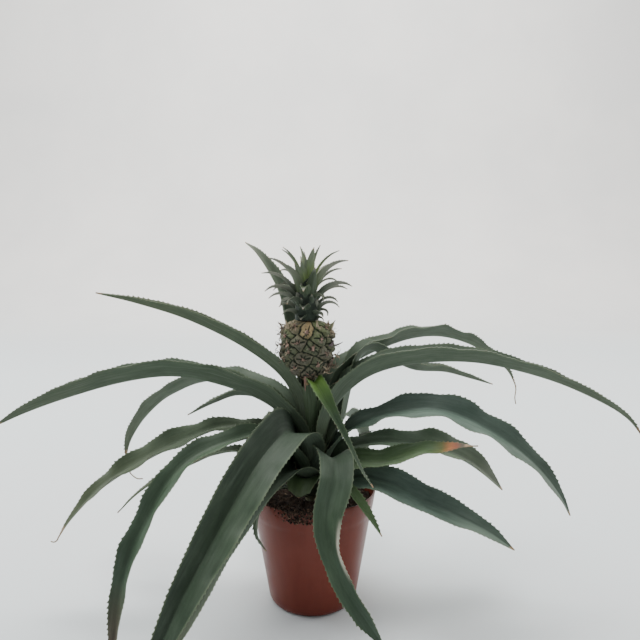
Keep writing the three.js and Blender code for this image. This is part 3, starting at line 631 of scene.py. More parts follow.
def blade_grid(axes, form, columns, margin_teeth):
    """Points of a folded blade. Each half is rounded next to the midrib and straight past that."""
    centre, ahead, flat, face = axes
    half, fold, bend = form["half"], form["fold"], form["bend"]
    grid = np.zeros((len(half), len(columns), 3))
    for j, k in enumerate(columns):
        sign = 1 if k > 0 else -1
        height = margin_teeth() if abs(k) == 1 else 0 * half
        reach = abs(k) + height / half
        inner = np.minimum(reach, bend)
        outer = reach - inner
        lateral = half * (bend / fold * np.sin(fold * inner / bend) + outer * np.cos(fold))
        rise = half * (bend / fold * (1 - np.cos(fold * inner / bend)) + outer * np.sin(fold))
        rise = rise + form["wave"][0 if sign < 0 else 1] * reach**2
        grid[:, j] = (centre + flat * (sign * lateral)[:, None] + face * rise[:, None]
                      + ahead * (height * TOOTH_LEAN)[:, None])
    return grid


def note_blade(piece, form, s, u, columns, seed):
    """Notes for the materials: the place on the flat blade, how far across and along it that is
    and how dry, and the colour of the skin there."""
    def spread(values):
        return np.repeat(values[:, None], len(columns), 1)

    across = np.tile(columns, (len(s), 1))
    shift = np.full(across.shape, seed * 0.37)
    place = np.stack([across * form["half"][:, None] * MM, spread(s) * MM, shift], -1)
    state = np.stack([np.abs(across), spread(u), spread(form["dry"])], -1)
    # The near and far halves are lightened or darkened with painted light and painted shade, as each side
    # of the fold faces the light or turns from it.
    near, far = form.get("sides", (1, 1))
    skin = spread(form["skin"]) * mix(near, far, smooth(across / SIDE_SHADE_SOFT + 0.5))[:, :, None]
    lip = form.get("lip", 0 * s)[:, None] * smooth((across - LIP_FROM) / LIP_SOFT)
    skin = mix(skin, np.array(LIP_COLOUR), lip[:, :, None])
    note(piece, "blade", place.reshape(-1, 3))
    note(piece, "state", state.reshape(-1, 3))
    note(piece, "skin", skin.reshape(-1, 3))


def thicken(piece, thickness, rows, columns):
    """Gives a sheet its thickness, which is less towards the margins."""
    body = piece.vertex_groups.new(name="body")
    for j, k in enumerate(columns):
        column = (np.arange(rows) * len(columns) + j).tolist()
        body.add(column, float(1 - abs(k) ** 1.5), "REPLACE")
    wall = piece.modifiers.new("Thickness", "SOLIDIFY")
    wall.thickness = thickness * MM
    wall.offset = 0
    wall.vertex_group = "body"
    wall.thickness_vertex_group = MARGIN_THICKNESS
    wall.material_offset = 1
    wall.material_offset_rim = 2
    apply_modifiers(piece)


def blade(name, points, side, shape, columns, teeth, pitch, steps, chance, thickness, seed, finishes):
    """A folded blade along a midrib. shape(s, u) gives half width, fold, bend, roll, the wave of
    each margin, dryness and colour. Columns run from one margin (1) to the other (-1), and the
    margins carry the forward-pointing teeth."""
    curve = spline(points)
    run = np.concatenate([[0], np.cumsum(np.linalg.norm(np.diff(curve, axis=0), axis=1))])
    s, stand = tooth_rows(run[-1], pitch, steps)
    u = s / run[-1]
    form = shape(s, u)

    def margin_teeth():
        uneven = chance.uniform(*TOOTH_UNEVEN, len(s))
        return (teeth * stand * uneven * smooth((1 - u) * TOOTH_FADE)
                * smooth((s - BARE_FOOT) / TOOTH_GROWTH))

    axes = blade_axes(curve, run, s, side, form["roll"])
    piece = sheet(name, blade_grid(axes, form, columns, margin_teeth))
    note_blade(piece, form, s, u, columns, seed)
    for finish in finishes:
        piece.data.materials.append(finish)
    thicken(piece, thickness, len(s), columns)
    smooth_faces(piece, BLADE_SMOOTHING)
    return piece


def leaf(number, name, row, finishes):
    out, side = spoke(row["az"])
    path = [(*p, 0)[:3] for p in row["path"]]
    thread = [(*p, 0)[:3] for p in row.get("curl", [])]

    def midrib(places):
        return [out * away + UP * height + side * across for away, height, across in places]

    length = np.linalg.norm(np.diff(spline(midrib(path)), axis=0), axis=1).sum()
    dry_length = row.get("dry", DRY_LENGTH)
    chance = np.random.default_rng(100 + number)
    ripples = chance.uniform(0, 2 * math.pi, 4)

    def shape(s, u):
        v = np.minimum(s / length, 1)
        full = row["w"] / 2 * along(OUTLINES[row.get("outline", "plain")], v)
        foot = min(FOOT_SHARE * row["w"], FOOT_HALF_WIDTH)
        widening = np.maximum(THREAD_HALF_WIDTH, mix(foot, full, smooth(s / SPREAD_LENGTH)))
        beyond = np.clip((s - length) / max(1.0, s[-1] - length), 0, 1)
        opening = smooth((s - OPENING_START) / (OPENING_SHARE * length))
        fold = (FOOT_FOLD + (SHEATH_FOLD - FOOT_FOLD) * smooth(s / CLASP_LENGTH)
                + (row["fold"] - SHEATH_FOLD) * opening)
        calm = smooth(v * 4) * smooth((1 - v) * 3)

        def ripple(phase, i):
            main = np.sin(2 * math.pi * s / WAVE_LENGTH + phase + len(path))
            first, second = [np.sin(2 * math.pi * s / wave + ripples[i + 2 * j])
                             for j, wave in enumerate(FINE_WAVES)]
            fine = FINE_SHARE * (first + 0.6 * second) * min(1, row["wave"])
            return (row["wave"] * main + fine) * calm

        return {
            "half": np.where(s > length, THREAD_HALF_WIDTH - THREAD_TAPER * beyond, widening),
            "fold": fold * (1 - 0.15 * smooth((v - 0.6) / 0.4)) * DEG,
            "bend": FIRM_BEND - (FIRM_BEND - row.get("crease", SOFT_CREASE)) * smooth(v / 0.25),
            "roll": (row.get("roll", 0) * smooth(v / 0.28)
                     + row.get("twist", 0) * smooth((v - 0.4) / 0.3)) * DEG,
            "wave": [ripple(1.7, 0), ripple(0, 1)],
            "dry": smooth((s - length + dry_length) / dry_length),
            "skin": colour_along(SKINS[row.get("skin", "grey")], v),
            "sides": row.get("sides", (1, 1)),
            "lip": along(row.get("lip", [(0, 0)]), v),
        }

    piece = blade("blade_" + name, midrib(path + thread), side, shape, LEAF_COLUMNS, TOOTH_HEIGHT,
                  TOOTH_PITCH, TOOTH_STEPS, chance, LEAF_THICKNESS, number, finishes)
    spikes = [small_blade(f"spike_{name}_{i}", start, heading, (0, 1, 0), reach, width, curl,
                          SPIKE_COLOUR, finishes[0], 700 + i, SPIKE_FOLD, SPIKE_THICKNESS)
              for i, (start, heading, reach, width, curl) in enumerate(row.get("spikes", []))]
    if spikes:
        piece = join("blade_" + name, [piece, *spikes])
    return settle(piece, "leaf", "leaf_" + name)


# Turned pieces

def turned(name, profile, steps):
    """Turns an outline of (radius, height) points about the upright axis."""
    deselect()
    bpy.ops.mesh.primitive_circle_add(vertices=len(profile), radius=MM)
    piece = bpy.context.object
    piece.name = piece.data.name = name
    for vertex, (r, z) in zip(piece.data.vertices, profile):
        vertex.co = (r * MM, 0, z * MM)
    bpy.ops.object.mode_set(mode="EDIT")
    bpy.ops.mesh.select_all(action="SELECT")
    bpy.ops.mesh.spin(steps=steps, angle=2 * math.pi, center=(0, 0, 0), axis=(0, 0, 1))
    bpy.ops.mesh.select_all(action="SELECT")
    bpy.ops.mesh.remove_doubles(threshold=1e-6)
    bpy.ops.mesh.dissolve_degenerate(threshold=1e-6)
    bpy.ops.mesh.normals_make_consistent(inside=False)
    bpy.ops.object.mode_set(mode="OBJECT")
    return piece


def cut(piece, cutter):
    """Cuts one piece with another, which is then removed."""
    saw = piece.modifiers.new("Cut", "BOOLEAN")
    saw.operation = "DIFFERENCE"
    saw.solver = "EXACT"
    saw.object = cutter
    apply_modifiers(piece)
    bpy.data.objects.remove(cutter)


def pot_finish():
    """Satin terracotta plastic with faint flow marks, scuffs, and dried soil and painted shade near the
    rim.
    """
    finish, tree, shader = new_finish("terracotta plastic", Roughness=0.38, Specular_IOR_Level=0.3)
    place = object_place(tree)
    height = split(tree, place)[2]
    flow = grain(tree, stretched(tree, place, (1, 1, 0.12)), 60, 4)
    clouds = grain(tree, place, 28, 4)
    fine = grain(tree, place, 900, 2)
    colour = blend(tree, between(tree, flow, 0.3, 0.7), (0.11, 0.0145, 0.005), (0.135, 0.02, 0.0085))
    colour = blend(tree, between(tree, clouds, 0.45, 0.75, 0, 0.3), colour, (0.165, 0.034, 0.02))
    # Darker brown towards the rim, inside and out: partly dried soil, partly painted shade on the inner
    # wall under the leaves.
    dust_and_shade = maths(tree, "MULTIPLY", between(tree, grain(tree, place, 130, 5, 0.7), 0.5, 0.72),
                 between(tree, height, 0.07, 0.112, 0.05, 0.55))
    colour = blend(tree, dust_and_shade, colour, (0.055, 0.036, 0.025))
    colour_with(tree, shader, colour)
    rough = maths(tree, "ADD", between(tree, clouds, 0.3, 0.7, 0.3, 0.42),
                  maths(tree, "MULTIPLY", dust_and_shade, 0.4))
    tree.links.new(rough, shader.inputs["Roughness"])
    relief(tree, shader, maths(tree, "ADD", fine, maths(tree, "MULTIPLY", flow, 2)), 0.00008, 0.6)
    return finish


def pot():
    foot = [(0, 0), (14, 0), (16, 3), (30, 3), (32, 0), (36, 0), (38.6, 0.7), (40.6, 2.2), (42, 5)]
    wall = [(WALL_FOOT_RADIUS, 9), (55.6, COLLAR_BOTTOM - 3.2), (56, COLLAR_BOTTOM - 1.4),
            (56.6, COLLAR_BOTTOM + 0.6), (57.3, COLLAR_BOTTOM + 2.8)]
    rim = [(RIM_RADIUS, POT_HEIGHT - 0.8), (RIM_RADIUS - 0.2, POT_HEIGHT - 0.2),
           (RIM_RADIUS - 0.7, POT_HEIGHT), (RIM_RADIUS - 1.4, POT_HEIGHT - 0.1), (58.1, POT_HEIGHT - 1)]
    inside = [(56.1, COLLAR_BOTTOM + 1.4), (54.2, COLLAR_BOTTOM), (WALL_FOOT_RADIUS - POT_WALL, 9.6),
              (39.4, 3.8), (35.6, 1.5), (33, 1.5), (31, 4.5), (15, 4.5), (13, 1.5), (0, 1.5)]
    piece = turned("nursery_pot", foot + wall + rim + inside, POT_STEPS)
    cutters = []
    for i in range(DRAIN_HOLES):
        out, _ = spoke((i + 0.5) * 360 / DRAIN_HOLES)
        bpy.ops.mesh.primitive_cylinder_add(
            vertices=24, radius=DRAIN_RADIUS * MM, depth=DRAIN_CUT * MM,
            location=Vector(out * DRAIN_OUT + UP * DRAIN_MIDDLE) * MM)
        cutters.append(bpy.context.object)
    for i in range(FOOT_NOTCHES):
        azimuth = FIRST_NOTCH + i * 360 / FOOT_NOTCHES
        out, _ = spoke(azimuth)
        bpy.ops.mesh.primitive_cube_add(
            size=1, scale=Vector(NOTCH_SIZE) * MM, rotation=(0, 0, azimuth * DEG),
            location=Vector(out * NOTCH_OUT + UP * NOTCH_MIDDLE) * MM)
        cutters.append(bpy.context.object)
    cut(piece, join("pot_cutter", cutters))
    piece.data.materials.append(pot_finish())
    smooth_faces(piece, 32)
    return settle(piece, "pot", "pot")


# Soil

def soil_top(x, y):
    """Height of the peat at a place: the broad lumps of the solid, with crumbs and clods on them."""
    r = math.hypot(x, y)
    lumps = 1.3 * math.sin(x * 0.31 + 1) * math.cos(y * 0.27) + 0.9 * math.sin(x * 0.13 - y * 0.37)
    angle = math.atan2(y, x) / DEG
    heap = smooth(1 - abs(angle - HEAP_AZIMUTH) / HEAP_WIDTH) * smooth((r - HEAP_START) / HEAP_LENGTH)
    clods = noise.fractal(Vector((x, y, 3.1)) * 0.17, 0.9, 2.1, 5) * 1.5
    return SOIL_LEVEL + (lumps + clods) * smooth((r - 8) / 8) + HEAP_HEIGHT * heap


def peat_finish():
    """Moist dark peat with paler bits in it."""
    finish, tree, shader = new_finish("peat", Roughness=0.95, Specular_IOR_Level=0.2)
    place = object_place(tree)
    clods = grain(tree, place, 180, 5, 0.65)
    crumbs = grain(tree, place, 1100, 4, 0.7)
    colour = blend(tree, between(tree, clods, 0.3, 0.7), (0.013, 0.0091, 0.00715), (0.052, 0.0338, 0.0234))
    colour = blend(tree, between(tree, crumbs, 0.6, 0.78, 0, 0.7), colour, (0.1105, 0.0728, 0.0468))
    colour_with(tree, shader, colour)
    relief(tree, shader, maths(tree, "ADD", clods, crumbs), 0.0009, 0.9)
    return finish


def soil():
    hole = STEM_RADIUS + CLEARANCE
    hole_foot = STEM_FOOT - CLEARANCE
    wall = [(0, hole_foot), (0, 4.9), (34, 4.9), (39.2, 6.6), (41.1, 10.6), (53.8, 89.6), (55.6, 93)]
    rings = [(r, SOIL_LEVEL) for r in np.arange(SOIL_RADIUS, hole, -1.1)]
    piece = turned("peat", wall + rings + [(hole, SOIL_LEVEL), (hole, hole_foot)], SOIL_STEPS)
    for vertex in piece.data.vertices:
        x, y, z = vertex.co / MM
        if z > SOIL_LEVEL - 0.01:
            near_stem = smooth((math.hypot(x, y) - STEM_RADIUS) / 2)
            vertex.co.z = mix(SOIL_LEVEL, soil_top(x, y), near_stem) * MM
    piece.data.materials.append(peat_finish())
    smooth_faces(piece, 180)
    return settle(piece, "soil", "soil")


def scattered(name, places, chance):
    """One mesh of many small rough bits. Each place is (x, y, z, size)."""
    deselect()
    bpy.ops.mesh.primitive_ico_sphere_add(subdivisions=1, radius=1)
    bit = bpy.context.object
    base = np.array([v.co for v in bit.data.vertices])
    faces = [tuple(p.vertices) for p in bit.data.polygons]
    bpy.data.objects.remove(bit)
    corners, polygons, shades = [], [], []
    for x, y, z, size in places:
        turn, _ = np.linalg.qr(chance.normal(size=(3, 3)))
        if np.linalg.det(turn) < 0:
            turn[:, 0] *= -1
        rough = base * chance.uniform(0.65, 1.2, (len(base), 1))
        flat = np.array([1, chance.uniform(0.5, 1), chance.uniform(0.35, 0.8)])
        start = len(corners) * len(base)
        corners.append((rough * flat * size) @ turn.T + (x, y, z))
        polygons.extend(tuple(start + i for i in face) for face in faces)
        shades.extend([chance.uniform()] * len(base))
    mesh = bpy.data.meshes.new(name)
    mesh.from_pydata((np.concatenate(corners) * MM).tolist(), [], polygons)
    piece = bpy.data.objects.new(name, mesh)
    bpy.context.scene.collection.objects.link(piece)
    note(piece, "shade", shades)
    return piece


def polar(r, a):
    return r * math.cos(a), r * math.sin(a)


def crumb_finish():
    """Loose peat, each bit in a shade of its own and a few of them pale."""
    finish, tree, shader = new_finish("peat crumbs", Roughness=0.95, Specular_IOR_Level=0.2)
    shade = read(tree, "shade", "Fac")
    colour = blend(tree, between(tree, shade, 0.1, 0.9), (0.012, 0.008, 0.006), (0.075, 0.046, 0.031))
    colour = blend(tree, between(tree, shade, 0.93, 0.97), colour, (0.2, 0.14, 0.09))
    colour_with(tree, shader, colour)
    relief(tree, shader, grain(tree, object_place(tree), 1600, 3), 0.0004)
    return finish


def crumbs():
    """Crumbs over the bed, a thin spill down the front of the rim, and more crumbs beside it."""
    chance = np.random.default_rng(41)
    places = []
    for _ in range(BED_CRUMBS):
        r = SOIL_RADIUS * math.sqrt(chance.uniform(0.03, 0.96))
        x, y = polar(r, chance.uniform(-math.pi, math.pi))
        size = 0.35 + 1.1 * chance.uniform() ** 3
        places.append((x, y, soil_top(x, y) + size * 0.25, size))
    for _ in range(SPILL_LUMPS):
        a = (SPILL_AZIMUTH + chance.normal() * 9) * DEG
        drop = SPILL_DEPTH * chance.uniform() ** 2
        size = 0.35 + 1.2 * chance.uniform() ** 2
        r = RIM_RADIUS - 0.12 * drop + size * chance.uniform(-0.4, 0.6)
        places.append((*polar(r, a), POT_HEIGHT + 0.6 - drop, size))
    for _ in range(RIM_CRUMBS):
        a = (SPILL_AZIMUTH - 6 + chance.normal() * 14) * DEG
        r = chance.uniform(50, RIM_RADIUS + 0.2)
        x, y = polar(r, a)
        z = POT_HEIGHT if r > SOIL_RADIUS - 0.5 else soil_top(x, y)
        size = 0.4 + 1.2 * chance.uniform() ** 2
        places.append((x, y, z + size * chance.uniform(0, 1.2), size))
    piece = scattered("peat_crumbs", places, chance)
    piece.data.materials.append(crumb_finish())
    return settle(piece, "soil")


def fibre_finish():
    finish, tree, shader = new_finish("root fibre", Roughness=0.8)
    colour = blend(tree, grain(tree, object_place(tree), 90), (0.03, 0.02, 0.014), (0.13, 0.09, 0.055))
    colour_with(tree, shader, colour)
    return finish


def fibres():
    """Fine roots and coir threads that lie in and over the peat."""
    chance = np.random.default_rng(57)
    lines = bpy.data.curves.new("fibres", "CURVE")
    lines.dimensions = "3D"
    lines.bevel_depth = FIBRE_RADIUS * MM
    lines.bevel_resolution = 1
    for i in range(FIBRES):
        if i % 2:
            a = (SPILL_AZIMUTH + chance.normal() * 14) * DEG
            r = chance.uniform(44, 58)
        else:
            a = chance.uniform(-math.pi, math.pi)
            r = SOIL_RADIUS * math.sqrt(chance.uniform(0.05, 0.85))
        x, y = polar(r, a)
        heading = chance.uniform(0, 2 * math.pi)
        count = int(chance.integers(5, 11))
        line = lines.splines.new("POLY")
        line.points.add(count - 1)
        lift = chance.uniform(0.1, 1.6)
        for j in range(count):
            level = soil_top(x, y)
            if math.hypot(x, y) >= 55.5:
                level = max(level, POT_HEIGHT + 0.2)
            z = level + lift * math.sin(math.pi * j / (count - 1)) + 0.1
            line.points[j].co = (x * MM, y * MM, z * MM, 1)
            line.points[j].radius = 1 - 0.6 * j / count
            heading += chance.normal() * 0.5
            x += FIBRE_STEP * math.cos(heading)
            y += FIBRE_STEP * math.sin(heading)
            if math.hypot(x, y) > FIBRE_LIMIT:
                x, y = x * 0.96, y * 0.96
    piece = bpy.data.objects.new("peat_fibres", lines)
    bpy.context.scene.collection.objects.link(piece)
    pick_one(piece)
    bpy.ops.object.convert(target="MESH")
    piece = bpy.context.object
    piece.name = piece.data.name = "peat_fibres"
    piece.data.materials.append(fibre_finish())
    smooth_faces(piece, 60)
    return settle(piece, "soil")


# Stem

def stem_finish():
    """Fibrous stem, pale at its foot and olive higher up."""
    finish, tree, shader = new_finish("leafy stem", Roughness=0.7)
    place = object_place(tree)
    height = split(tree, place)[2]
    colour = blend(tree, between(tree, height, 0.12, 0.21), (0.16, 0.17, 0.1), (0.07, 0.085, 0.045))
    strands = grain(tree, stretched(tree, place, (1, 1, 0.2)), 420)
    colour = blend(tree, between(tree, strands, 0.4, 0.7), colour, (0.12, 0.11, 0.06))
    colour_with(tree, shader, colour)
    relief(tree, shader, grain(tree, stretched(tree, place, (1, 1, 0.3)), 500), 0.0004)
    return finish


def stem():
    profile = [(0, STEM_FOOT)]
    for z in np.arange(STEM_FOOT, STEM_SHOULDER, 2.0):
        profile.append((STEM_RADIUS - 0.25 + 0.25 * math.sin(z * 1.1), z))
    profile += [(STEM_RADIUS - 0.4, STEM_SHOULDER), (STALK_RADIUS + 0.4, STEM_SHOULDER + 6),
                (STALK_RADIUS, STEM_SHOULDER + 10), (STALK_RADIUS, 196),
                (STALK_RADIUS + 0.6, STALK_TOP - 3), (STALK_RADIUS + 2, STALK_TOP), (0, STALK_TOP)]
    piece = turned("stem_and_stalk", profile, 48)
    for vertex in piece.data.vertices:
        lean = smooth((vertex.co.z / MM - LEAN_FROM) / (STALK_TOP - LEAN_FROM))
        vertex.co.x += FRUIT_LEAN * MM * float(lean)
    piece.data.materials.append(stem_finish())
    smooth_faces(piece, 60)
    return settle(piece, "stem", "stem")


# Fruit

# Radius by height, both as shares.
FRUIT_OUTLINE = [(0, 0), (0.03, 0.46), (0.08, 0.7), (0.16, 0.86), (0.28, 0.97), (0.42, 1.02),
                 (0.56, 1.02), (0.7, 0.99), (0.82, 0.93), (0.92, 0.78), (0.975, 0.58), (1, 0)]


def eye_centres():
    """Azimuth of each eye and its share of the fruit's height, on a rising spiral."""
    return [((k * EYE_TURN) % 360, FIRST_EYE + EYE_RANGE * (k + 0.5) / EYES) for k in range(EYES)]


def fruit_radius(share):
    curve = spline(FRUIT_OUTLINE, 400)
    return np.interp(share, np.maximum.accumulate(curve[:, 0]), np.maximum(curve[:, 1], 0))


def fruit_finish():
    """Young pineapple skin: dusty grey-brown eyes with an olive cast, greener and tanner towards
    the crown, with painted shade in the grooves and creases and paler on the ridges beside them."""
    finish, tree, shader = new_finish("fruit skin", Roughness=0.66, Specular_IOR_Level=0.35)
    place = object_place(tree)
    edge, away, low = split(tree, read(tree, "eye"))
    tone, share, crease = split(tree, read(tree, "spot"))
    clouds = grain(tree, place, 380, 5, 0.75)
    broad = grain(tree, place, 90, 3)
    fine = grain(tree, place, 1300, 4, 0.75)
    olive = blend(tree, between(tree, share, 0.55, 0.95), (0.092, 0.112, 0.06), (0.15, 0.19, 0.075))
    brown = blend(tree, between(tree, share, 0.65, 0.95), (0.13, 0.118, 0.086), (0.25, 0.21, 0.105))
    colour = blend(tree, between(tree, maths(tree, "ADD", tone, broad), 0.7, 1.3), olive, brown)
    colour = blend(tree, between(tree, tone, 1.1, 1.3), colour, (0.36, 0.26, 0.12))
    colour = blend(tree, between(tree, clouds, 0.53, 0.66, 0, 0.65), colour, (0.3, 0.27, 0.2))
    colour = blend(tree, between(tree, clouds, 0.46, 0.34, 0, 0.6), colour, (0.034, 0.036, 0.024))
    colour = blend(tree, between(tree, low, 0.0, 0.8, 0, 0.4), colour, (0.045, 0.042, 0.032))
    colour = blend(tree, between(tree, away, 0.34, 0.1, 0, 0.5), colour, (0.26, 0.17, 0.15))
    colour = blend(tree, between(tree, fine, 0.55, 0.68, 0, 0.65), colour, (0.36, 0.33, 0.25))
    colour = blend(tree, between(tree, fine, 0.44, 0.3, 0, 0.5), colour, (0.03, 0.03, 0.02))
    ragged = maths(tree, "ADD", edge, between(tree, clouds, 0.3, 0.7, -0.55, 0.55))
    ridge = maths(tree, "MULTIPLY", between(tree, ragged, 0.6, 1.1), between(tree, ragged, 2.2, 1.3))
    colour = blend(tree, maths(tree, "MULTIPLY", ridge, 0.35), colour, (0.22, 0.21, 0.12))
    # Painted shade: near black in the creases of each eye and in the ragged grooves between the eyes.
    crease_shade = maths(tree, "MULTIPLY", crease, between(tree, fine, 0.3, 0.55, 0.6, 1.25))
    colour = blend(tree, between(tree, crease_shade, 0.15, 0.65, 0, 0.94), colour, (0.02, 0.028, 0.014))
    colour = blend(tree, between(tree, ragged, 0.9, 0.2), colour, (0.018, 0.026, 0.013))
    colour_with(tree, shader, colour)
    relief(tree, shader, maths(tree, "ADD", clouds, maths(tree, "MULTIPLY", fine, 0.7)), 0.0012, 1.0)
    return finish


def bract_finish():
    """Papery dry bract tips, pink-tan to straw."""
    finish, tree, shader = new_finish("dry bract", Roughness=0.7)
    strands = grain(tree, stretched(tree, read(tree, "blade"), (1, 0.3, 1)), 500, 4)
    colour = blend(tree, between(tree, strands, 0.3, 0.7), (0.55, 0.5, 0.45), (1.25, 1.2, 1.15))
    colour = blend(tree, 1.0, read(tree, "skin"), colour, "MULTIPLY")
    colour_with(tree, shader, colour)
    relief(tree, shader, strands, 0.0003)
    return finish


def small_blade(name, start, heading, side, length, width, curl, colour, finish, seed, fold, thickness,
                pieces=7):
    """A small pointed blade from start that sets off along heading and curls by an angle."""
    heading = unit(np.array(heading, float))
    side = unit(np.array(side, float))
    lift = np.cross(heading, side)
    points = [np.array(start, float)]
    for i in range(pieces):
        bend = curl * DEG * ((i + 0.5) / pieces) ** 1.3
        step = heading * math.cos(bend) + lift * math.sin(bend)
        points.append(points[-1] + step * length / pieces)

    def shape(s, u):
        taper = along([(0, 0.9), (0.3, 1), (0.7, 0.55), (1, 0.06)], u)
        return {"half": np.maximum(0.12, width / 2 * taper), "fold": np.full(len(s), fold * DEG),
                "bend": np.full(len(s), 0.6), "roll": 0 * s, "wave": [0 * s, 0 * s],
                "dry": 0 * s, "skin": np.tile(colour, (len(s), 1))}

    chance = np.random.default_rng(seed)
    return blade(name, points, side, shape, [1, 0.5, 0, -0.5, -1], 0.0, length / 8, [(0, 0)],
                 chance, thickness, seed, [finish] * 3)


def shreds(anchors, finish, chance):
    """Dry bits of bract and flower: thin curled blades that start at the given places. Each
    anchor is (start, out, count, longest, widest, colour)."""
    made = []
    for start, out, count, longest, widest, colour in anchors:
        out = unit(np.array(out, float))
        for _ in range(count):
            heading = unit(out * chance.uniform(0.15, 0.8) + chance.normal(size=3) * 0.7)
            side = unit(np.cross(heading, chance.normal(size=3)))
            tint = mix(np.array(colour), np.array(DRY_TINTS["straw"]), chance.uniform())
            made.append(small_blade(
                f"shred_{len(made)}", start + chance.normal(size=3) * 0.8, heading, side,
                longest * chance.uniform(0.45, 1), widest * chance.uniform(0.4, 1),
                chance.uniform(-170, 170), tint, finish, 900 + len(made), 24, 0.22, 6))
    return made


def on_skin(azimuth, up, stand):
    """A place at this height that stands off the fruit's mean skin, and the ways out and aside."""
    out, side = spoke(azimuth)
    share = min(0.97, max(0.04, (up - FRUIT_FOOT) / FRUIT_HEIGHT))
    r = (FRUIT_RADIUS + stand) * float(fruit_radius(share))
    return out * r + (FRUIT_LEAN, 0, up), out, side


def nearest_eyes(co, angle, share):
    """For each point of the skin: its nearest eye, how far the groove and the eye's middle are,
    and its place beside and above that middle. Noise bends the grooves."""
    eyes = np.array(eye_centres())
    turn = (angle[:, None] - eyes[None, :, 0] * DEG + math.pi) % (2 * math.pi) - math.pi
    dx = turn * FRUIT_RADIUS * MEAN_GIRTH
    dz = (share[:, None] - eyes[None, :, 1]) * FRUIT_HEIGHT
    shift = Vector((9, 9, 9))
    spots = [Vector(c) * WANDER_SCALE for c in co]
    wander = EYE_WANDER * np.array([[noise.noise(spot), noise.noise(spot + shift)] for spot in spots])
    far = np.hypot((dx + wander[:, :1]) * EYE_SQUASH, (dz + wander[:, 1:]) / EYE_SQUASH)
    order = np.argsort(far, axis=1)
    pick = np.arange(len(co))
    first, second = order[:, 0], order[:, 1]
    near = far[pick, first]
    return first, (far[pick, second] - near) / 2, near, dx[pick, first], dz[pick, first]


def eye_creases(x, z, tone):
    """Creases run out from the middle of an eye, the longest two to its left and right."""
    crease = np.zeros(len(x))
    for lean, reach, deep in CREASES:
        a = (lean + (tone - 0.5) * 50) * DEG
        ahead = x * np.cos(a) + z * np.sin(a)
        beside = -x * np.sin(a) + z * np.cos(a) + 0.05 * ahead**2 * np.sin(tone * 40)
        line = deep * np.exp(-(beside / CREASE_WIDTH) ** 2)
        crease = np.maximum(crease, line * smooth(ahead / 1.2) * smooth((reach - ahead) / 3))
    return crease


def fruit_body(chance):
    """The skin with its eyes, the grooves between them, their creases and their loose lower edge."""
    deselect()
    bpy.ops.mesh.primitive_uv_sphere_add(segments=360, ring_count=170, radius=1)
    body = bpy.context.object
    co = np.array([v.co for v in body.data.vertices])
    angle = np.arctan2(co[:, 1], co[:, 0])
    share = (co[:, 2] + 1) / 2
    first, edge, near, x, z = nearest_eyes(co, angle, share)
    tones = chance.uniform(0, 1, EYES)
    eyes = np.array(eye_centres())
    tan_turn = ((eyes[:, 0] - TAN_EYE[0]) * DEG + math.pi) % (2 * math.pi) - math.pi
    tones[np.argmin(np.hypot(eyes[:, 1] - TAN_EYE[1], 0.4 * tan_turn))] = TAN_TONE
    swells = chance.uniform(0.75, 1.2, EYES)
    crease = eye_creases(x, z, tones[first])
    rough = np.array([noise.fractal(Vector(c) * 7, 0.8, 2.0, 5) for c in co])
    swell = (1 - np.exp(-edge / GROOVE_SOFTNESS)) * swells[first] * (1 - 0.01 * near**1.7)
    loose = LOOSE_EDGE * smooth((0.3 - z - 0.3 * np.abs(x)) / 1.1) * smooth(edge / 1.5)
    ends = smooth(share * 12) * smooth((1 - share) * 16)
    lift = EYE_RELIEF * swell + loose - CREASE_DEPTH * crease + ROUGHNESS * rough * smooth(edge / 0.8)
    r = (FRUIT_RADIUS - EYE_RELIEF) * fruit_radius(share) + lift * ends
    place = np.stack([r * np.cos(angle) + FRUIT_LEAN, r * np.sin(angle),
                      FRUIT_FOOT + FRUIT_HEIGHT * share], -1)
    body.data.vertices.foreach_set("co", (place * MM).astype(np.float32).ravel())
    body.data.update()
    note(body, "eye", np.stack([edge, near / 8, np.clip(-z / 6, -1, 1)], -1))
    note(body, "spot", np.stack([tones[first], share, crease], -1))
    body.data.materials.append(fruit_finish())
    smooth_faces(body, 180)
    return body


def fruit():
    """The body, a bract and dry shreds on every eye, dry curls where they gather, and flaps."""
    chance = np.random.default_rng(7)
    parts = [fruit_body(chance)]
    dry = bract_finish()
    bark, pink = np.array(DRY_TINTS["bark"]), np.array(DRY_TINTS["pink"])
    anchors = []
    for k, (azimuth, share) in enumerate(eye_centres()):
        if share < 0.1 or share > 0.95:
            continue
        middle, out, side = on_skin(azimuth, FRUIT_FOOT + FRUIT_HEIGHT * share, -0.4)
        heading = out * chance.uniform(0.2, 0.45) + UP * 0.9 + side * chance.normal() * 0.2
        tint = mix(bark, pink, chance.uniform(0, 0.6))
        parts.append(small_blade(
            f"bract_{k}", middle - UP * 2.2, heading, side, chance.uniform(4.5, 6.5),
            chance.uniform(2.6, 4), chance.uniform(-60, 70), tint, dry, 300 + k, 26, 0.3))
        anchors.append((middle + out * 0.4, out, 3, 6, 1.4, pink))
    for azimuth, up, count, longest, tint in FRUIT_CURLS:
        start, out, _ = on_skin(azimuth, up, 0.3)
        anchors.append((start, out, count, longest, 2, DRY_TINTS[tint]))
    parts += shreds(anchors, dry, chance)
    for k, (azimuth, up, lift, length, width, curl, tint) in enumerate(FRUIT_FLAPS):
        start, out, side = on_skin(azimuth, up, -0.6)
        heading = out * math.cos(lift * DEG) + UP * math.sin(lift * DEG)
        parts.append(small_blade(f"flap_{k}", start, heading, side, length, width, curl,
                                 DRY_TINTS[tint], dry, 1900 + k, 30, 0.5, 8))
    return settle(join("fruit_with_eyes", parts), "fruit", "fruit")


# Crown

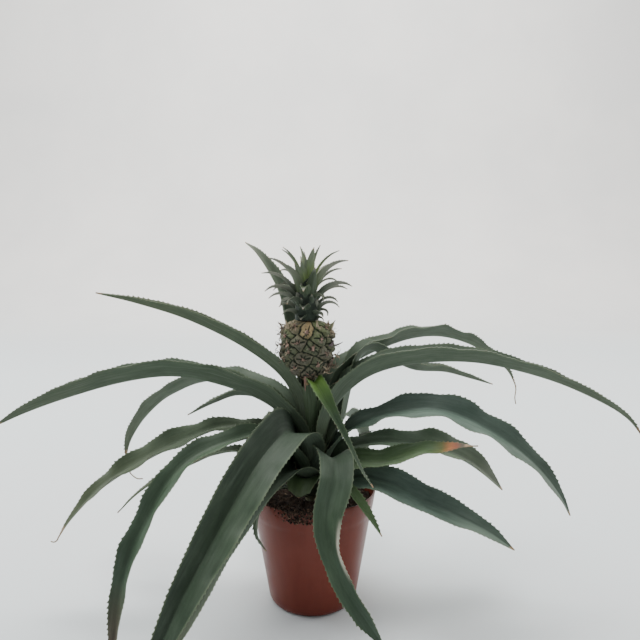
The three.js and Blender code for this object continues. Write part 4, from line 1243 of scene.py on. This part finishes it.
# The blades that show from the front: azimuth, height of the root above the crown's foot,
# length, half width, and steepness at the root and at the tip.
CROWN_FRONT = [
    (14, 30, 44, 2.6, 76, 20), (-12, 23, 48, 4.8, 76, 4), (26, 22, 40, 3.6, 68, 2),
    (38, 22, 37, 2.4, 62, -38), (-8, 16, 41, 4.6, 64, -28), (22, 14, 38, 3.4, 60, -28),
    (8, 10, 25, 3, 68, -52), (-18, 5, 28, 3.4, 70, -50), (0, 5, 15, 2.6, 62, -110),
    (-30, 1, 10, 2.6, 35, -70), (-20, 36, 34, 2.3, 80, 62), (-58, 34, 33, 5.2, 80, 66),
    (120, 37, 25, 1.8, 88, 80), (-100, 32, 26, 3.6, 88, 82), (170, 36, 18, 1.8, 86, 74),
    (-135, 28, 26, 4.4, 78, 52), (-115, 31, 25, 3.6, 80, 58), (165, 30, 42, 2.8, 84, 36),
    (190, 24, 46, 3.8, 74, 16), (214, 22, 37, 5.4, 80, 28), (172, 23, 25, 2.6, 66, -40),
    (178, 17, 46, 3.4, 72, -8), (158, 17, 33, 3, 66, -45), (188, 15, 38, 3.8, 68, -42),
    (198, 12, 33, 3.4, 62, -42), (180, 8, 20, 3, 58, -50), (228, 12, 22, 4, 68, -60),
    (208, 4, 18, 3.6, 50, -50), (264, 19, 26, 6, 84, -50), (262, 6, 18, 6, 80, -50),
    (252, 0.5, 9, 5, 60, -60), (-62, 18, 32, 5.4, 84, 62), (-38, 19, 16, 3.4, 60, -90),
    (-48, 4, 14, 4, 50, -60),
]
# The blades behind follow the same growth: what is given by the height of the root.
CROWN_ROOT = [(0, 9.6), (14, 9), (26, 6), (38, 2)]
CROWN_LENGTH = [(0, 10), (5, 24), (12, 36), (22, 44), (30, 42), (38, 28)]
CROWN_START = [(0, 45), (12, 64), (22, 72), (30, 80), (38, 88)]
CROWN_END = [(0, -70), (5, -55), (12, -40), (20, -20), (26, 10), (30, 30), (38, 78)]
CROWN_OUTLINE = [(0, 0.95), (0.35, 1), (0.7, 0.66), (1, 0.05)]
# Colour of a blade's foot by the height of its root, and of its tip. The near black of the low roots is
# painted shade; the yellow-green of the high young ones is their own.
CROWN_SKIN = [(0, (0.016, 0.027, 0.015)), (15, (0.018, 0.03, 0.016)), (21, (0.04, 0.062, 0.022)),
              (27, (0.13, 0.2, 0.04)), (31, (0.23, 0.34, 0.065)), (38, (0.16, 0.25, 0.075))]
CROWN_TIP_LOW = (0.27, 0.265, 0.225)
CROWN_TIP_HIGH = (0.15, 0.175, 0.12)
CROWN_COLUMNS = [1, 0.9, 0.6, 0.3, 0, -0.3, -0.6, -0.9, -1]


def crown_blade(number, row, finishes):
    azimuth, up, length, half_width, start, end = row
    out, side = spoke(azimuth)
    away, height = along(CROWN_ROOT, up), CROWN_FOOT + up
    points = []
    for i in range(CROWN_STEPS + 1):
        points.append(out * away + (FRUIT_LEAN, 0, height))
        heading = mix(start, end, ((i + 0.5) / CROWN_STEPS) ** CROWN_BEND_RATE) * DEG
        away += math.cos(heading) * length / CROWN_STEPS
        height += math.sin(heading) * length / CROWN_STEPS
    foot = colour_along(CROWN_SKIN, np.array([up]))
    tip = np.array([CROWN_TIP_HIGH if up > CROWN_HEART else CROWN_TIP_LOW])
    # Low blades that face the front keep their dark foot colour further out towards the tip: painted
    # shade.
    shaded_front = smooth(-out[1] * 1.6 - 0.5) if up < CROWN_HEART - 1 else 0.0

    def shape(s, u):
        grey = mix(smooth((u - 0.1) / 0.7), smooth((u - 0.8) / 0.2), shaded_front)[:, None]
        return {"half": np.maximum(0.3, half_width * along(CROWN_OUTLINE, u)),
                "fold": np.full(len(s), CROWN_FOLD * DEG), "bend": np.full(len(s), 0.5),
                "roll": np.full(len(s), CROWN_ROLL * out[0] * DEG), "wave": [0 * s, 0 * s],
                "dry": 0.7 * smooth((u - 0.9) / 0.1), "skin": mix(foot, tip, grey)}

    chance = np.random.default_rng(500 + number)
    return blade(f"crown_blade_{number}", points, side, shape, CROWN_COLUMNS, CROWN_TOOTH,
                 CROWN_TOOTH_PITCH, [(0, 0.05), (0.7, 1)], chance, 0.8, 500 + number, finishes)


def crown(finishes):
    profile = [(0, CROWN_FOOT), (11, CROWN_FOOT), (11.2, CROWN_FOOT + 5), (9.8, CROWN_FOOT + 18),
               (6.8, CROWN_FOOT + 33), (0, CROWN_CORE_TOP)]
    core = turned("crown_core", profile, 32)
    for vertex in core.data.vertices:
        vertex.co.x += FRUIT_LEAN * MM
    count = len(core.data.vertices)
    note(core, "blade", np.array([v.co for v in core.data.vertices]))
    note(core, "state", np.zeros((count, 3)))
    note(core, "skin", np.tile(CORE_SHADE_COLOUR, (count, 1)))
    core.data.materials.append(finishes[0])
    smooth_faces(core, 60)
    rows = list(CROWN_FRONT)
    for k in range(CROWN_BACK):
        azimuth = mix(CROWN_BACK_FROM, CROWN_BACK_TO, k / (CROWN_BACK - 1))
        up = 1 + CROWN_BACK_REACH * ((k * CROWN_BACK_STEP) % 1)
        rows.append((azimuth, up, along(CROWN_LENGTH, up), CROWN_BACK_HALF_WIDTH,
                     along(CROWN_START, up), along(CROWN_END, up)))
    parts = [core] + [crown_blade(k, row, finishes) for k, row in enumerate(rows)]
    # Small inner scales close the gaps on the core.
    for k in range(CROWN_SCALES):
        share = k / CROWN_SCALES
        row = (k * EYE_TURN, 1 + SCALE_REACH * share, SCALE_LENGTH, SCALE_HALF_WIDTH,
               mix(86, 89, share), mix(70, 86, share))
        parts.append(crown_blade(100 + k, row, finishes))
    return settle(join("crown_blades", parts), "crown", "crown")


# Stage, lights and camera. These sizes are in metres.

SWEEP_STEPS = 40
FLOOR_STEPS = 4
BEND_STEPS = 32
SWEEP_FRONT = -4
SWEEP_HALF_WIDTH = 5
BEND_START = 1.7
BEND_RADIUS = 0.8
SENSOR = 36
FOCAL_PIXELS = 641
PICTURE_PIXELS = 640


def stage():
    """A pale paper sweep: level under the pot, then bent up into a wall behind it."""
    deselect()
    bpy.ops.mesh.primitive_grid_add(x_subdivisions=1, y_subdivisions=SWEEP_STEPS, size=1)
    sweep = bpy.context.object
    sweep.name = sweep.data.name = "paper_sweep"
    for i, vertex in enumerate(sweep.data.vertices):
        step = i // 2
        if step <= FLOOR_STEPS:
            y, z = mix(SWEEP_FRONT, BEND_START, step / FLOOR_STEPS), 0
        elif step <= FLOOR_STEPS + BEND_STEPS:
            a = (step - FLOOR_STEPS) / BEND_STEPS * math.pi / 2
            y, z = BEND_START + BEND_RADIUS * math.sin(a), BEND_RADIUS * (1 - math.cos(a))
        else:
            y, z = BEND_START + BEND_RADIUS, BEND_RADIUS + (step - FLOOR_STEPS - BEND_STEPS) * 1.2
        vertex.co = (SWEEP_HALF_WIDTH if i % 2 else -SWEEP_HALF_WIDTH, y, z)
    smooth_faces(sweep, 60)
    finish, tree, shader = new_finish("pale paper", Roughness=0.9, Specular_IOR_Level=0.2)
    place = object_place(tree)
    far = split(tree, place)[1]
    tone = blend(tree, between(tree, far, 1.2, 2.4), (0.665, 0.715, 0.725), (0.93, 0.91, 0.875))
    clouds = between(tree, grain(tree, place, 2.5, 3), 0.3, 0.7, 0, 0.3)
    colour_with(tree, shader, blend(tree, clouds, tone, (0.7, 0.7, 0.7)))
    sweep.data.materials.append(finish)


def lamp(name, place, target, size, power, colour=(1, 1, 1)):
    light = bpy.data.lights.new(name, "AREA")
    light.shape = "DISK"
    light.size = size
    light.energy = power
    light.color = colour
    holder = bpy.data.objects.new(name, light)
    holder.location = place
    holder.rotation_euler = (Vector(target) - Vector(place)).to_track_quat("-Z", "Y").to_euler()
    bpy.context.scene.collection.objects.link(holder)


def lights():
    world = bpy.data.worlds.new("soft room")
    world.use_nodes = True
    sky = world.node_tree.nodes["Background"]
    sky.inputs["Color"].default_value = (0.95, 0.97, 1, 1)
    sky.inputs["Strength"].default_value = 0.53
    bpy.context.scene.world = world
    lamp("ceiling", (-0.4, 0.5, 2.5), (0, 0, 0.15), 2.0, 58, (1, 0.99, 0.97))
    lamp("left_window", (-2.3, 0.5, 1.3), (0, 0, 0.2), 1.6, 38, (0.96, 0.98, 1))
    lamp("right_window", (2.3, 0.7, 1.1), (0, 0, 0.2), 1.4, 33, (1, 0.98, 0.96))
    lamp("wall_wash", (0, 0.5, 2.7), (0, 2.5, 0.9), 1.6, 74, (1, 0.985, 0.965))


def camera():
    view = bpy.data.cameras.new("camera")
    view.sensor_width = SENSOR
    view.lens = FOCAL_PIXELS / PICTURE_PIXELS * SENSOR
    view.clip_start = 0.02
    holder = bpy.data.objects.new("camera", view)
    holder.location = (0.007, -0.588, 0.348)
    holder.rotation_euler = (82.5 * DEG, 0, 0)
    bpy.context.scene.collection.objects.link(holder)
    bpy.context.scene.camera = holder


leaf_finishes = [leaf_finish("leaf skin"), leaf_finish("leaf underside", under=True), margin_finish()]
pot()
soil()
crumbs()
fibres()
stem()
fruit()
crown(leaf_finishes)
for number, (name, row) in enumerate(LEAVES.items()):
    leaf(number, name, row, leaf_finishes)
stage()
lights()
camera()
